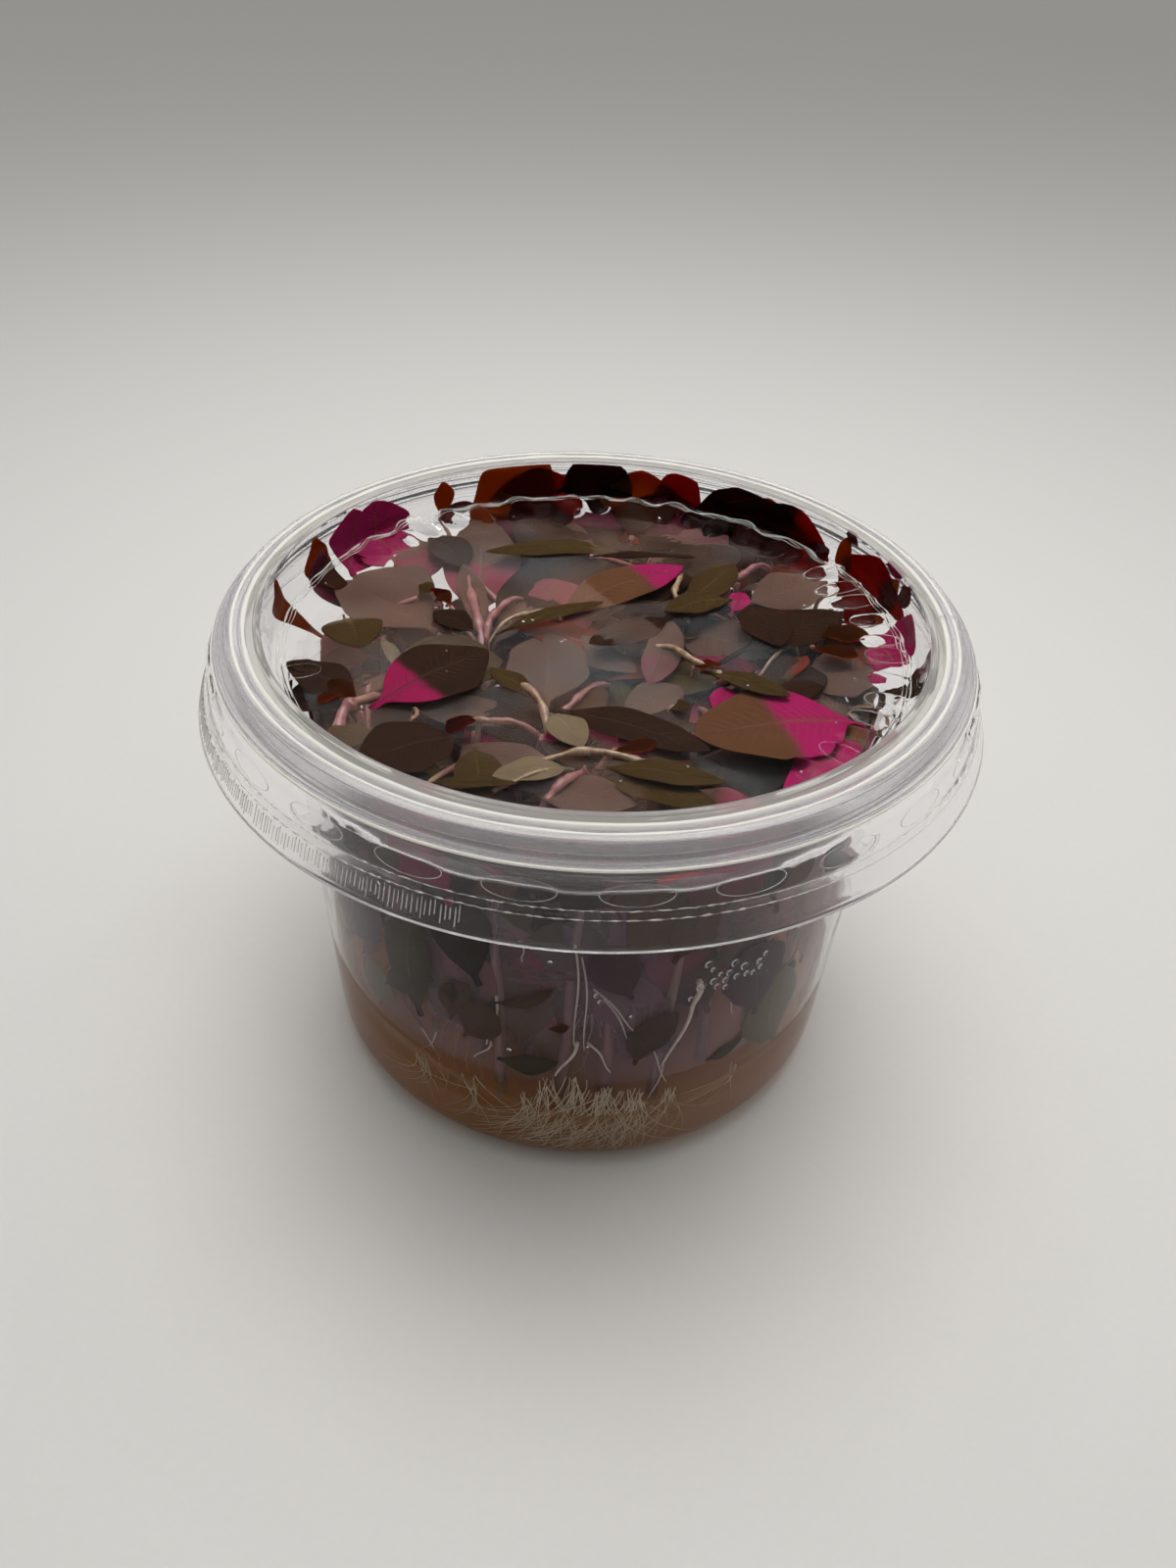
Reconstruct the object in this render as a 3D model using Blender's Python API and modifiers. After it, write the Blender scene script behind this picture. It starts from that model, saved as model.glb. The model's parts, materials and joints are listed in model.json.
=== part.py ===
"""Alternanthera grown in a sealed clear cup: a tapered cup with a wide hollow skirt round its rim, a snap lid
with a sunken panel, a bed of nutrient gel, and eleven young plants whose stems rise from tufts of roots in
the gel and whose leaves crowd under the lid.

The frame is in metres with +Z up. The origin is the middle of the cup's foot, on the surface that it stands
on, and -Y is the front. Sizes below are in millimetres and are turned to metres as the meshes are made.
"""

import math
from typing import NamedTuple

import bmesh
import bpy
from mathutils import Matrix, Vector

MM = 0.001
TURN_STEPS = 40
MERGE = 0.00001

# Cup
WALL = 0.8
EDGE_ROUND = 0.35
CORNER_ROUND = 0.7
FOOT_FLAT_R = 35.6
FOOT_RECESS_R = 32.0
FOOT_RECESS = 0.9
FOOT_CORNER = 4.0
BODY_TOP_R = 41.8
BODY_TOP_Z = 60.0
COLLAR_BOTTOM_R = 45.9
COLLAR_BOTTOM_Z = 62.6
COLLAR_TOP_R = 46.3
RIM_Z = 70.2
LEDGE_Z = 67.6
SKIRT_TOP_R = 50.8
SKIRT_STEP_R = 51.7
SKIRT_STEP_Z = 63.3
SKIRT_EDGE_R = 53.0
SKIRT_EDGE_Z = 59.5

# Lid
LID_SHEET = 0.7
LID_TOP_Z = 71.35
PANEL_Z = 65.75
PANEL_R = 42.2
WELL_BOTTOM_R = 42.9
WELL_TOP_R = 43.75
LID_EDGE_R = 48.35
BEAD_R = 50.0
BEAD_Z = 68.45

# Gel and roots
GEL_TOP_Z = 16.5
GEL_GAP = 0.4
POCKET_GAP = 0.6
POCKET_SIDES = 10
ROOT_TOP_Z = 20.0
ROOT_FOOT_Z = 3.6
ROOT_FOOT_R = 3.0
ROOT_SPREAD_R = 4.2
ROOT_SPREAD_UP = 5.0
ROOT_NECK_R = 2.0
ROOT_TOP_R = 1.2

# Stems and leaves
STEM_R = 0.95
STEM_THINS = 0.25
STEM_PARTS = 5
LEAF_SHEET = 0.42
LEAF_GAP = 0.4
LEAF_STATIONS = (0.0, 0.12, 0.28, 0.48, 0.68, 0.86, 1.0)
LEAF_RISE = 0.4
LEAF_FOLD = 0.04
PETIOLE_SHARE = 0.11
TIP_SHARE = 0.06


class Leaf(NamedTuple):
    """A leaf: the height at which it leaves its stem, its tip, its width, how far its middle bows up, its
    colour, and the share of its length that is a bare stalk."""

    from_z: float
    tip: tuple
    width: float
    bow: float
    colour: str
    stalk: float = 0.12


class StandingLeaf(NamedTuple):
    """A leaf that stands between the lid's well and the cup's collar: its plant, the height at which it leaves
    the stem, its angle round the cup from +X in degrees, its width, the height of its top, and its colour."""

    plant: str
    from_z: float
    angle: float
    width: float
    top_z: float
    colour: str


PLANTS = {
    "front": {
        "root": (2.0, -25.0),
        "crown": (-0.5, -25.8, 63.0),
        "leaves": [
            Leaf(62.6, (-11.3, -29.8, 63.9), 4.6, 0.2, "pale"),
            Leaf(62.8, (16.2, -29.4, 64.4), 4.4, 0.1, "olive"),
            Leaf(61.6, (15.4, -33.0, 63.3), 5.6, 0.2, "olive"),
            Leaf(44.0, (8.5, -36.0, 33.0), 6.0, 0.6, "red"),
        ],
    },
    "centre_left": {
        "root": (-9.0, -10.0),
        "crown": (-6.0, -13.8, 63.2),
        "leaves": [
            Leaf(62.8, (-13.9, -7.4, 64.2), 3.4, 0.1, "olive"),
            Leaf(62.6, (-0.9, -23.8, 64.2), 5.0, 0.2, "pale"),
            Leaf(62.9, (14.6, -23.3, 64.4), 6.8, 0.1, "brown"),
            Leaf(61.4, (-6.5, 5.5, 62.0), 12.0, 0.3, "rose"),
            Leaf(60.2, (-22.5, -13.5, 61.2), 7.0, 0.4, "rose"),
        ],
    },
    "centre_right": {
        "root": (16.0, -3.0),
        "crown": (13.4, -3.2, 63.0),
        "leaves": [
            Leaf(62.8, (25.2, -10.6, 64.3), 3.8, 0.1, "olive"),
            Leaf(60.8, (4.6, -13.5, 62.0), 6.5, 0.4, "rose"),
            Leaf(61.4, (36.0, 13.6, 63.2), 9.2, 0.2, "brown", 0.35),
        ],
    },
    "left": {
        "root": (-14.0, 6.0),
        "crown": (-15.2, 2.2, 63.0),
        "leaves": [
            Leaf(62.8, (-23.0, 5.8, 64.3), 4.8, 0.1, "brown"),
            Leaf(62.9, (0.9, 10.9, 64.4), 3.0, 0.1, "olive"),
            Leaf(60.8, (-20.8, 23.5, 62.4), 4.2, 0.4, "rose"),
            Leaf(60.0, (-8.8, 17.2, 61.0), 4.6, 0.3, "rose"),
        ],
    },
    "back_centre": {
        "root": (-1.0, 14.0),
        "crown": (-8.0, 9.0, 61.2),
        "leaves": [
            Leaf(60.8, (12.8, 24.2, 63.6), 9.0, 0.4, "magenta"),
            Leaf(59.4, (-3.5, 23.5, 59.8), 8.0, 0.4, "rose"),
            Leaf(60.2, (6.0, -1.0, 60.4), 7.0, 0.4, "rose"),
        ],
    },
    "left_front": {
        "root": (-26.0, -14.0),
        "crown": (-29.2, -16.5, 62.6),
        "leaves": [
            Leaf(62.3, (-14.4, -3.0, 64.2), 12.4, 0.2, "brown"),
            Leaf(61.6, (-34.2, -11.0, 63.6), 3.2, 0.2, "orange"),
            Leaf(61.4, (-29.8, -25.4, 63.1), 5.4, 0.2, "olive"),
            Leaf(60.0, (-38.0, -7.0, 62.4), 5.0, 0.3, "brown"),
        ],
    },
    "near_left": {
        "root": (-15.0, -27.0),
        "crown": (-14.6, -19.8, 62.8),
        "leaves": [
            Leaf(62.5, (-27.2, -28.6, 64.2), 11.0, 0.1, "brown"),
            Leaf(61.2, (-12.0, -34.2, 63.2), 5.6, 0.3, "olive"),
            Leaf(50.0, (-20.5, -31.5, 29.5), 9.6, -0.8, "olive"),
        ],
    },
    "right": {
        "root": (29.0, -8.0),
        "crown": (37.2, -11.0, 61.4),
        "leaves": [
            Leaf(61.2, (12.8, -18.8, 63.4), 15.5, 0.2, "magenta"),
            Leaf(60.0, (23.4, -28.6, 62.0), 5.5, 0.3, "magenta"),
            Leaf(58.0, (36.0, 7.0, 60.6), 5.2, 0.5, "rose"),
            Leaf(59.2, (22.6, 0.4, 60.8), 9.0, 0.3, "rose"),
            Leaf(50.0, (30.5, -21.5, 34.0), 7.0, -0.7, "magenta"),
        ],
    },
    "back": {
        "root": (-7.0, 29.0),
        "crown": (8.0, 31.0, 61.0),
        "leaves": [
            Leaf(60.8, (-17.6, 25.6, 63.6), 5.0, 0.3, "olive"),
            Leaf(59.0, (20.0, 29.0, 61.6), 6.0, 0.4, "red"),
        ],
    },
    "left_back": {
        "root": (-28.0, 16.0),
        "crown": (-36.6, 9.2, 61.0),
        "leaves": [
            Leaf(60.8, (-31.6, -3.4, 63.6), 8.0, 0.2, "olive"),
            Leaf(59.0, (-23.5, 15.5, 61.4), 7.0, 0.4, "rose"),
        ],
    },
    "right_back": {
        "root": (26.0, 19.0),
        "crown": (21.5, 16.5, 63.0),
        "leaves": [
            Leaf(62.8, (9.6, 9.4, 64.3), 5.4, 0.1, "olive"),
            Leaf(62.4, (25.6, 1.6, 64.2), 7.6, 0.2, "brown"),
            Leaf(61.6, (-0.9, 1.2, 63.3), 6.6, 0.1, "brown", 0.5),
        ],
    },
}

STANDING_LEAVES = (
    StandingLeaf("back", 57.0, 104.0, 16.0, 70.0, "red"),
    StandingLeaf("back", 55.5, 82.0, 15.0, 70.0, "red"),
    StandingLeaf("right_back", 57.0, 54.0, 19.0, 70.0, "red"),
    StandingLeaf("right_back", 55.6, 24.0, 17.0, 70.0, "red"),
    StandingLeaf("left_back", 57.0, 141.0, 14.0, 70.0, "magenta"),
    StandingLeaf("left_back", 56.0, 158.0, 6.0, 69.4, "orange"),
    StandingLeaf("left_back", 54.8, 174.0, 4.4, 69.0, "orange"),
    StandingLeaf("right", 56.0, -7.0, 7.0, 69.8, "brown"),
)

# The way of a standing leaf past the cup's shoulder: distance from the axis, height and share of full width.
SHOULDER_PASS = ((39.4, 60.6, 0.09), (43.2, 63.2, 0.35), (45.05, 64.6, 0.8), (45.05, 66.6, 1.0))
STANDING_TOP = (0.82, 0.3)
STALK_SHARE = 0.05
LEAST_REACH = 20.0

COLOURS = {
    "clear": ((0.86, 0.88, 0.90), 0.08),
    "gel": ((0.46, 0.30, 0.14), 0.25),
    "stem": ((0.52, 0.22, 0.24), 0.50),
    "brown": ((0.07, 0.035, 0.028), 0.45),
    "olive": ((0.12, 0.10, 0.045), 0.45),
    "rose": ((0.33, 0.17, 0.15), 0.50),
    "red": ((0.22, 0.03, 0.015), 0.45),
    "orange": ((0.45, 0.18, 0.04), 0.45),
    "magenta": ((0.45, 0.02, 0.16), 0.45),
    "pale": ((0.42, 0.40, 0.26), 0.50),
}
SEE_THROUGH = ("clear", "gel")


def clear_scene():
    for obj in list(bpy.data.objects):
        bpy.data.objects.remove(obj, do_unlink=True)


def new_collection(name):
    collection = bpy.data.collections.new(name)
    bpy.context.scene.collection.children.link(collection)
    return collection


def material(kind):
    found = bpy.data.materials.get(kind)
    if found:
        return found
    colour, roughness = COLOURS[kind]
    made = bpy.data.materials.new(kind)
    made.use_nodes = True
    shader = made.node_tree.nodes["Principled BSDF"]
    shader.inputs["Base Color"].default_value = (*colour, 1.0)
    shader.inputs["Roughness"].default_value = roughness
    shader.inputs["Metallic"].default_value = 0.0
    if kind in SEE_THROUGH:
        shader.inputs["Transmission Weight"].default_value = 0.9
    return made


def add_object(name, mesh, kind, collection):
    obj = bpy.data.objects.new(name, mesh)
    mesh.materials.append(material(kind))
    collection.objects.link(obj)
    return obj


def arc(centre_r, centre_z, radius, start, end, count=3):
    """Points of a rounded corner, as (radius, height), from one angle to another in degrees."""
    turns = [math.radians(start + (end - start) * i / (count - 1)) for i in range(count)]
    return [(centre_r + radius * math.cos(a), centre_z + radius * math.sin(a)) for a in turns]


def turned(name, profile, kind, collection):
    """A solid of revolution, turned by a Screw from a half outline that starts and ends on the axis."""
    mesh = bpy.data.meshes.new(name)
    points = [(r * MM, 0.0, z * MM) for r, z in profile]
    mesh.from_pydata(points, [(i, i + 1) for i in range(len(points) - 1)], [])
    obj = add_object(name, mesh, kind, collection)
    screw = obj.modifiers.new("Turn", "SCREW")
    screw.steps = screw.render_steps = TURN_STEPS
    screw.use_merge_vertices = True
    screw.merge_threshold = MERGE
    screw.use_smooth_shade = True
    return obj


def turned_mesh(name, profile, steps):
    """The same turning straight into a mesh, for the gel, which Booleans cut, and for their cutters."""
    made = bmesh.new()
    points = [made.verts.new((r * MM, 0.0, z * MM)) for r, z in profile]
    edges = [made.edges.new((a, b)) for a, b in zip(points, points[1:])]
    bmesh.ops.spin(made, geom=points + edges, angle=math.tau, steps=steps, axis=(0, 0, 1), cent=(0, 0, 0),
                   use_merge=True)
    bmesh.ops.remove_doubles(made, verts=made.verts, dist=MERGE)
    bmesh.ops.recalc_face_normals(made, faces=made.faces)
    mesh = bpy.data.meshes.new(name)
    made.to_mesh(mesh)
    made.free()
    return mesh


def make_cup(collection):
    floor_z = FOOT_RECESS + WALL
    inside = [(0.0, floor_z), (FOOT_RECESS_R, floor_z), (FOOT_RECESS_R + floor_z - WALL, WALL)]
    inside += arc(FOOT_FLAT_R, FOOT_CORNER, FOOT_CORNER - WALL, -90, 0)
    inside += [
        (BODY_TOP_R - WALL, BODY_TOP_Z + CORNER_ROUND),
        (COLLAR_BOTTOM_R - CORNER_ROUND, COLLAR_BOTTOM_Z - CORNER_ROUND),
        (COLLAR_BOTTOM_R, COLLAR_BOTTOM_Z),
        (COLLAR_TOP_R, RIM_Z - EDGE_ROUND),
    ]
    rim = [
        (COLLAR_TOP_R + EDGE_ROUND, RIM_Z),
        (COLLAR_TOP_R + WALL + EDGE_ROUND, RIM_Z),
        (COLLAR_TOP_R + 2 * WALL, LEDGE_Z + EDGE_ROUND),
    ]
    skirt = [
        (SKIRT_TOP_R - CORNER_ROUND, LEDGE_Z),
        (SKIRT_TOP_R, LEDGE_Z - CORNER_ROUND),
        (SKIRT_STEP_R - EDGE_ROUND, SKIRT_STEP_Z + CORNER_ROUND),
        (SKIRT_STEP_R, SKIRT_STEP_Z),
        (SKIRT_EDGE_R, SKIRT_EDGE_Z),
        (SKIRT_EDGE_R - WALL, SKIRT_EDGE_Z),
        (SKIRT_STEP_R - WALL, SKIRT_STEP_Z - EDGE_ROUND),
        (SKIRT_TOP_R - WALL, LEDGE_Z - WALL),
        (COLLAR_TOP_R + WALL, LEDGE_Z - WALL),
    ]
    outside = [
        (COLLAR_BOTTOM_R + WALL, COLLAR_BOTTOM_Z - EDGE_ROUND),
        (COLLAR_BOTTOM_R, COLLAR_BOTTOM_Z - CORNER_ROUND - WALL),
        (BODY_TOP_R, BODY_TOP_Z),
    ]
    outside += arc(FOOT_FLAT_R, FOOT_CORNER, FOOT_CORNER, 0, -90)
    outside += [(FOOT_RECESS_R + FOOT_RECESS, 0.0), (FOOT_RECESS_R, FOOT_RECESS), (0.0, FOOT_RECESS)]
    return turned("cup", inside + rim + skirt + outside, "clear", collection)


def make_lid(collection):
    top = [
        (0.0, PANEL_Z),
        (PANEL_R, PANEL_Z),
        (WELL_BOTTOM_R, PANEL_Z + CORNER_ROUND),
        (WELL_TOP_R, LID_TOP_Z - EDGE_ROUND),
        (WELL_TOP_R + EDGE_ROUND, LID_TOP_Z),
        (LID_EDGE_R - EDGE_ROUND, LID_TOP_Z),
        (LID_EDGE_R, LID_TOP_Z - EDGE_ROUND),
        (BEAD_R - EDGE_ROUND, BEAD_Z + LID_SHEET),
        (BEAD_R, BEAD_Z),
    ]
    under = [
        (BEAD_R - LID_SHEET, BEAD_Z),
        (LID_EDGE_R - LID_SHEET, LID_TOP_Z - LID_SHEET),
        (WELL_TOP_R + LID_SHEET, LID_TOP_Z - LID_SHEET),
        (WELL_BOTTOM_R + LID_SHEET, PANEL_Z),
        (PANEL_R, PANEL_Z - LID_SHEET),
        (0.0, PANEL_Z - LID_SHEET),
    ]
    return turned("lid", top + under, "clear", collection)


def body_inside_r(z):
    """Radius of the cup's inner wall at a height between the foot and the shoulder."""
    foot = FOOT_FLAT_R + FOOT_CORNER
    share = (z - FOOT_CORNER) / (BODY_TOP_Z - FOOT_CORNER)
    return foot + (BODY_TOP_R - foot) * share - WALL


def root_profile(grown):
    """Half outline of a tuft of roots as (radius, height): a blunt foot, a spread and a neck, from below up."""
    return [
        (ROOT_FOOT_R + grown, ROOT_FOOT_Z - grown),
        (ROOT_SPREAD_R + grown, ROOT_FOOT_Z + ROOT_SPREAD_UP),
        (ROOT_NECK_R + grown, GEL_TOP_Z - ROOT_NECK_R),
        (ROOT_TOP_R + grown, ROOT_TOP_Z),
    ]


def make_gel(collection, cutters):
    """The bed of gel, with an open pocket for each tuft of roots."""
    floor_z = FOOT_RECESS + WALL + GEL_GAP
    corner = arc(FOOT_FLAT_R, FOOT_CORNER, FOOT_CORNER - WALL - GEL_GAP, 0, -90)
    profile = [(0.0, GEL_TOP_Z), (body_inside_r(GEL_TOP_Z) - GEL_GAP, GEL_TOP_Z)]
    profile += [(r, max(z, floor_z)) for r, z in corner]
    profile += [(0.0, floor_z)]
    gel = add_object("gel", turned_mesh("gel", profile, TURN_STEPS), "gel", collection)
    for plant, facts in PLANTS.items():
        x, y = facts["root"]
        outline = root_profile(POCKET_GAP)
        outline = [(0.0, outline[0][1])] + outline + [(0.0, outline[-1][1])]
        mesh = turned_mesh(f"{plant}_pocket", outline, POCKET_SIDES)
        pocket = add_object(f"{plant}_pocket", mesh, "gel", cutters)
        pocket.location = (x * MM, y * MM, 0.0)
        pocket.hide_render = True
        pocket.display_type = "WIRE"
        cut = gel.modifiers.new(f"Pocket for {plant}", "BOOLEAN")
        cut.operation = "DIFFERENCE"
        cut.object = pocket


def stem_point(plant, z):
    """Where a plant's stem is at a height, in millimetres: it starts upright and leans over to its crown."""
    facts = PLANTS[plant]
    root = Vector(facts["root"])
    crown = Vector(facts["crown"][:2])
    share = (z - ROOT_TOP_Z) / (facts["crown"][2] - ROOT_TOP_Z)
    place = root.lerp(crown, share * share * (3 - 2 * share))
    return Vector((place.x, place.y, z))


def make_stems(collection):
    """Each plant's roots and stem are one tapering tube: a tuft in the gel that narrows to the stem."""
    for plant, facts in PLANTS.items():
        rings = [(Vector((*facts["root"], z)), r) for r, z in root_profile(0.0)]
        for i in range(1, STEM_PARTS + 1):
            share = i / STEM_PARTS
            z = ROOT_TOP_Z + (facts["crown"][2] - ROOT_TOP_Z) * share
            rings.append((stem_point(plant, z), STEM_R * (1.0 - STEM_THINS * share)))
        curve = bpy.data.curves.new(f"{plant}_stem_and_roots", "CURVE")
        curve.dimensions = "3D"
        curve.bevel_depth = MM
        curve.bevel_resolution = 2
        curve.use_fill_caps = True
        spline = curve.splines.new("POLY")
        spline.points.add(len(rings) - 1)
        for point, (place, radius) in zip(spline.points, rings):
            point.co = (*(place * MM), 1.0)
            point.radius = radius
        curve.materials.append(material("stem"))
        stem = bpy.data.objects.new(f"{plant}_stem_and_roots", curve)
        collection.objects.link(stem)


def leaf_object(name, rows, kind, collection):
    """A leaf from rows of three points across it, made a thin closed sheet by Solidify."""
    made = bmesh.new()
    bmesh.ops.create_grid(made, x_segments=2, y_segments=len(rows) - 1, size=0.5)
    made.verts.ensure_lookup_table()
    points = [point for row in rows for point in row]
    for vertex, point in zip(made.verts, points):
        vertex.co = point * MM
    mesh = bpy.data.meshes.new(name)
    made.to_mesh(mesh)
    made.free()
    leaf = add_object(name, mesh, kind, collection)
    sheet = leaf.modifiers.new("Sheet", "SOLIDIFY")
    sheet.thickness = LEAF_SHEET * MM
    sheet.offset = 0.0


def blade_share(u, stalk):
    """Share of a leaf's full width at a share of its length: a narrow stalk, an oval blade, a blunt tip."""
    if u <= stalk:
        return PETIOLE_SHARE
    if u == 1:
        return TIP_SHARE
    along = (u - stalk) / (1 - stalk)
    return max(PETIOLE_SHARE, math.sin(math.pi * along ** 0.9) ** 0.7)


def make_spread_leaf(name, plant, leaf, collection):
    """A leaf that rises from its stem and then lies nearly flat, as if pressed up under the lid."""
    tip = Vector(leaf.tip)
    stem = stem_point(plant, leaf.from_z)
    reach = Vector((tip.x - stem.x, tip.y - stem.y, 0.0))
    base = stem + reach.normalized() * (STEM_R + LEAF_GAP)
    chord = tip - base
    side = chord.cross(Vector((0, 0, 1))).normalized()
    normal = side.cross(chord).normalized()
    flat = abs(chord.z) < reach.length
    rows = []
    for u in LEAF_STATIONS:
        centre = base + chord * u + normal * (leaf.bow * 4 * u * (1 - u))
        if flat:
            centre.z += chord.z * (min(1.0, u / LEAF_RISE) - u)
        half = leaf.width / 2 * blade_share(u, leaf.stalk)
        drop = normal * (-LEAF_FOLD * half)
        rows.append([centre - side * half + drop, centre, centre + side * half + drop])
    leaf_object(name, rows, leaf.colour, collection)


def make_standing_leaf(leaf, collection):
    """A leaf that leaves its stem, crosses the cup's shoulder and stands up between the lid and the collar."""
    stem = stem_point(leaf.plant, leaf.from_z)
    turn = math.radians(leaf.angle)
    out = Vector((math.cos(turn), math.sin(turn), 0.0))
    first_r, first_z, _ = SHOULDER_PASS[0]
    last_r, last_z, _ = SHOULDER_PASS[-1]
    way = Vector((out.x * first_r - stem.x, out.y * first_r - stem.y, 0.0)).normalized()
    path = [(stem + way * (STEM_R + LEAF_GAP), STALK_SHARE)]
    path += [(out * r + Vector((0, 0, z)), share) for r, z, share in SHOULDER_PASS]
    for i, share in enumerate(STANDING_TOP, 1):
        z = last_z + (leaf.top_z - last_z) * i / len(STANDING_TOP)
        path.append((out * last_r + Vector((0, 0, z)), share))
    rows = []
    for point, share in path:
        swing = leaf.width / 2 * share / max(point.xy.length, LEAST_REACH)
        rows.append([Matrix.Rotation(a, 3, "Z") @ point for a in (-swing, 0.0, swing)])
    name = f"{leaf.plant}_standing_leaf_{round(leaf.angle) % 360}"
    leaf_object(name, rows, leaf.colour, collection)


def make_leaves(collection):
    for plant, facts in PLANTS.items():
        for i, leaf in enumerate(facts["leaves"], 1):
            make_spread_leaf(f"{plant}_leaf_{i}", plant, leaf, collection)
    for leaf in STANDING_LEAVES:
        make_standing_leaf(leaf, collection)


def main():
    clear_scene()
    collection = new_collection("Alternanthera")
    cutters = new_collection("Cutters")
    make_cup(collection)
    make_lid(collection)
    make_gel(collection, cutters)
    make_stems(collection)
    make_leaves(collection)


main()
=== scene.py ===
# Alternanthera in a sealed clear cup: the looks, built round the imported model.
# Lengths in the dictionaries are millimetres and angles are degrees, unless a note says otherwise.
# Angles round the cup are counted from +X towards the back, or from the front where a name says so.
import json
import math

import bmesh
import bpy
import numpy as np
from mathutils import Matrix, Vector


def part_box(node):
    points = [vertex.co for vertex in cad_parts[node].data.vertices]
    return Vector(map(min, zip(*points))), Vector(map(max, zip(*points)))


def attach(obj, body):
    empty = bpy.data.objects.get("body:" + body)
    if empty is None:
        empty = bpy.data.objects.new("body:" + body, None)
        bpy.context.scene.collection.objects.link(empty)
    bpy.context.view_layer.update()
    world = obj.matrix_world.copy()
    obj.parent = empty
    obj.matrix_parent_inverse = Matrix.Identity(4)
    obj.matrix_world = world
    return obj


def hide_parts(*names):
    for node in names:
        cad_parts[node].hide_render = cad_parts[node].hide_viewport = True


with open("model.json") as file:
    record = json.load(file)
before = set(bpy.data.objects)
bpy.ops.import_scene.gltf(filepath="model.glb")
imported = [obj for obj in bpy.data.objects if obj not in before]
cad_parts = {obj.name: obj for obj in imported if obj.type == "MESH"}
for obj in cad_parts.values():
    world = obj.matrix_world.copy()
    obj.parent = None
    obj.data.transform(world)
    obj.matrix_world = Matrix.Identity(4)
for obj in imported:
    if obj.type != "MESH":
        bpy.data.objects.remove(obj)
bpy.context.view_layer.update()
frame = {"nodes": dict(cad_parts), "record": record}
mm = 0.001
circle = 2 * math.pi
up = np.array([0.0, 0.0, 1.0])
print("frame loaded:", len(frame["nodes"]), "nodes")


# Small helpers

def addObject(name, data):
    made = bpy.data.objects.new(name, data)
    bpy.context.scene.collection.objects.link(made)
    return made


def addNode(tree, kind, **settings):
    node = tree.nodes.new(kind)
    for key, value in settings.items():
        setattr(node, key, value)
    return node


def isSocket(value):
    return isinstance(value, bpy.types.NodeSocket)


def setInputs(node, **values):
    # each value is a number, a colour or the output of another node
    for key, value in values.items():
        socket = node.inputs[key.replace("_", " ")]
        if isSocket(value):
            node.id_data.links.new(value, socket)
        else:
            socket.default_value = (*value, 1.0) if socket.type == "RGBA" else value
    return node


def maths(operation, *values, clamp=False):
    tree = next(value.id_data for value in values if isSocket(value))
    node = addNode(tree, "ShaderNodeMath", operation=operation, use_clamp=clamp)
    for socket, value in zip(node.inputs, values):
        if isSocket(value):
            tree.links.new(value, socket)
        else:
            socket.default_value = value
    return node.outputs[0]


def plus(a, b):
    return maths("ADD", a, b)


def minus(a, b):
    return maths("SUBTRACT", a, b)


def times(a, b):
    return maths("MULTIPLY", a, b)


def mixColours(tree, factor, a, b):
    node = addNode(tree, "ShaderNodeMix", data_type="RGBA")
    return setInputs(node, Factor=factor, A=a, B=b).outputs["Result"]


def noise(where, scale, detail=3.0, rough=0.5):
    node = addNode(where.id_data, "ShaderNodeTexNoise")
    return setInputs(node, Vector=where, Scale=scale, Detail=detail, Roughness=rough).outputs["Fac"]


def spread(value, low, high, outLow=0.0, outHigh=1.0):
    node = addNode(value.id_data, "ShaderNodeMapRange", interpolation_type="SMOOTHSTEP")
    setInputs(node, Value=value, From_Min=low, From_Max=high, To_Min=outLow, To_Max=outHigh)
    return node.outputs["Result"]


def bump(height, distance, strength=1.0):
    node = addNode(height.id_data, "ShaderNodeBump")
    return setInputs(node, Strength=strength, Distance=distance, Height=height).outputs["Normal"]


def objectPlace(tree):
    return addNode(tree, "ShaderNodeTexCoord").outputs["Object"]


def parted(vector):
    # the X, Y and Z of a vector
    return setInputs(addNode(vector.id_data, "ShaderNodeSeparateXYZ"), Vector=vector).outputs


def stretched(where, share):
    # the same place with its height pressed together, so that a noise runs upright
    node = addNode(where.id_data, "ShaderNodeMapping")
    return setInputs(node, Vector=where, Scale=(1.0, 1.0, share)).outputs["Vector"]


# Camera, floor and light

camera = {
    "place": (0.0, -137.6, 150.7),
    "pitchDown": 38.93,
    "roll": 2.955,
    "lens": 27.05,
    "sensor": 36.0,
    "nearest": 10.0,
}


def makeCamera():
    data = bpy.data.cameras.new("camera")
    data.lens = camera["lens"]
    data.sensor_width = camera["sensor"]
    data.clip_start = camera["nearest"] * mm
    eye = addObject("camera", data)
    tilt = Matrix.Rotation(math.radians(90 - camera["pitchDown"]), 4, "X")
    roll = Matrix.Rotation(math.radians(camera["roll"]), 4, "Z")
    eye.matrix_world = Matrix.Translation(Vector(camera["place"]) * mm) @ tilt @ roll
    bpy.context.scene.camera = eye


lamps = {
    # name: place, aimed at, width, height (metres) and watts
    "overhead": ((0.01, 0.10, 0.44), (0, 0.08, 0), 0.30, 0.24, 1.24),
    "window": ((0.75, 0.35, 0.50), (0, 0, 0.05), 0.4, 0.4, 0.5),
}
floorSize = 6.0
floorDrop = -0.0001
sky = {"high": (0.66, 0.66, 0.65), "low": (0.05, 0.049, 0.047), "edge": (0.50, 0.80), "strength": 1.0}


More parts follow.
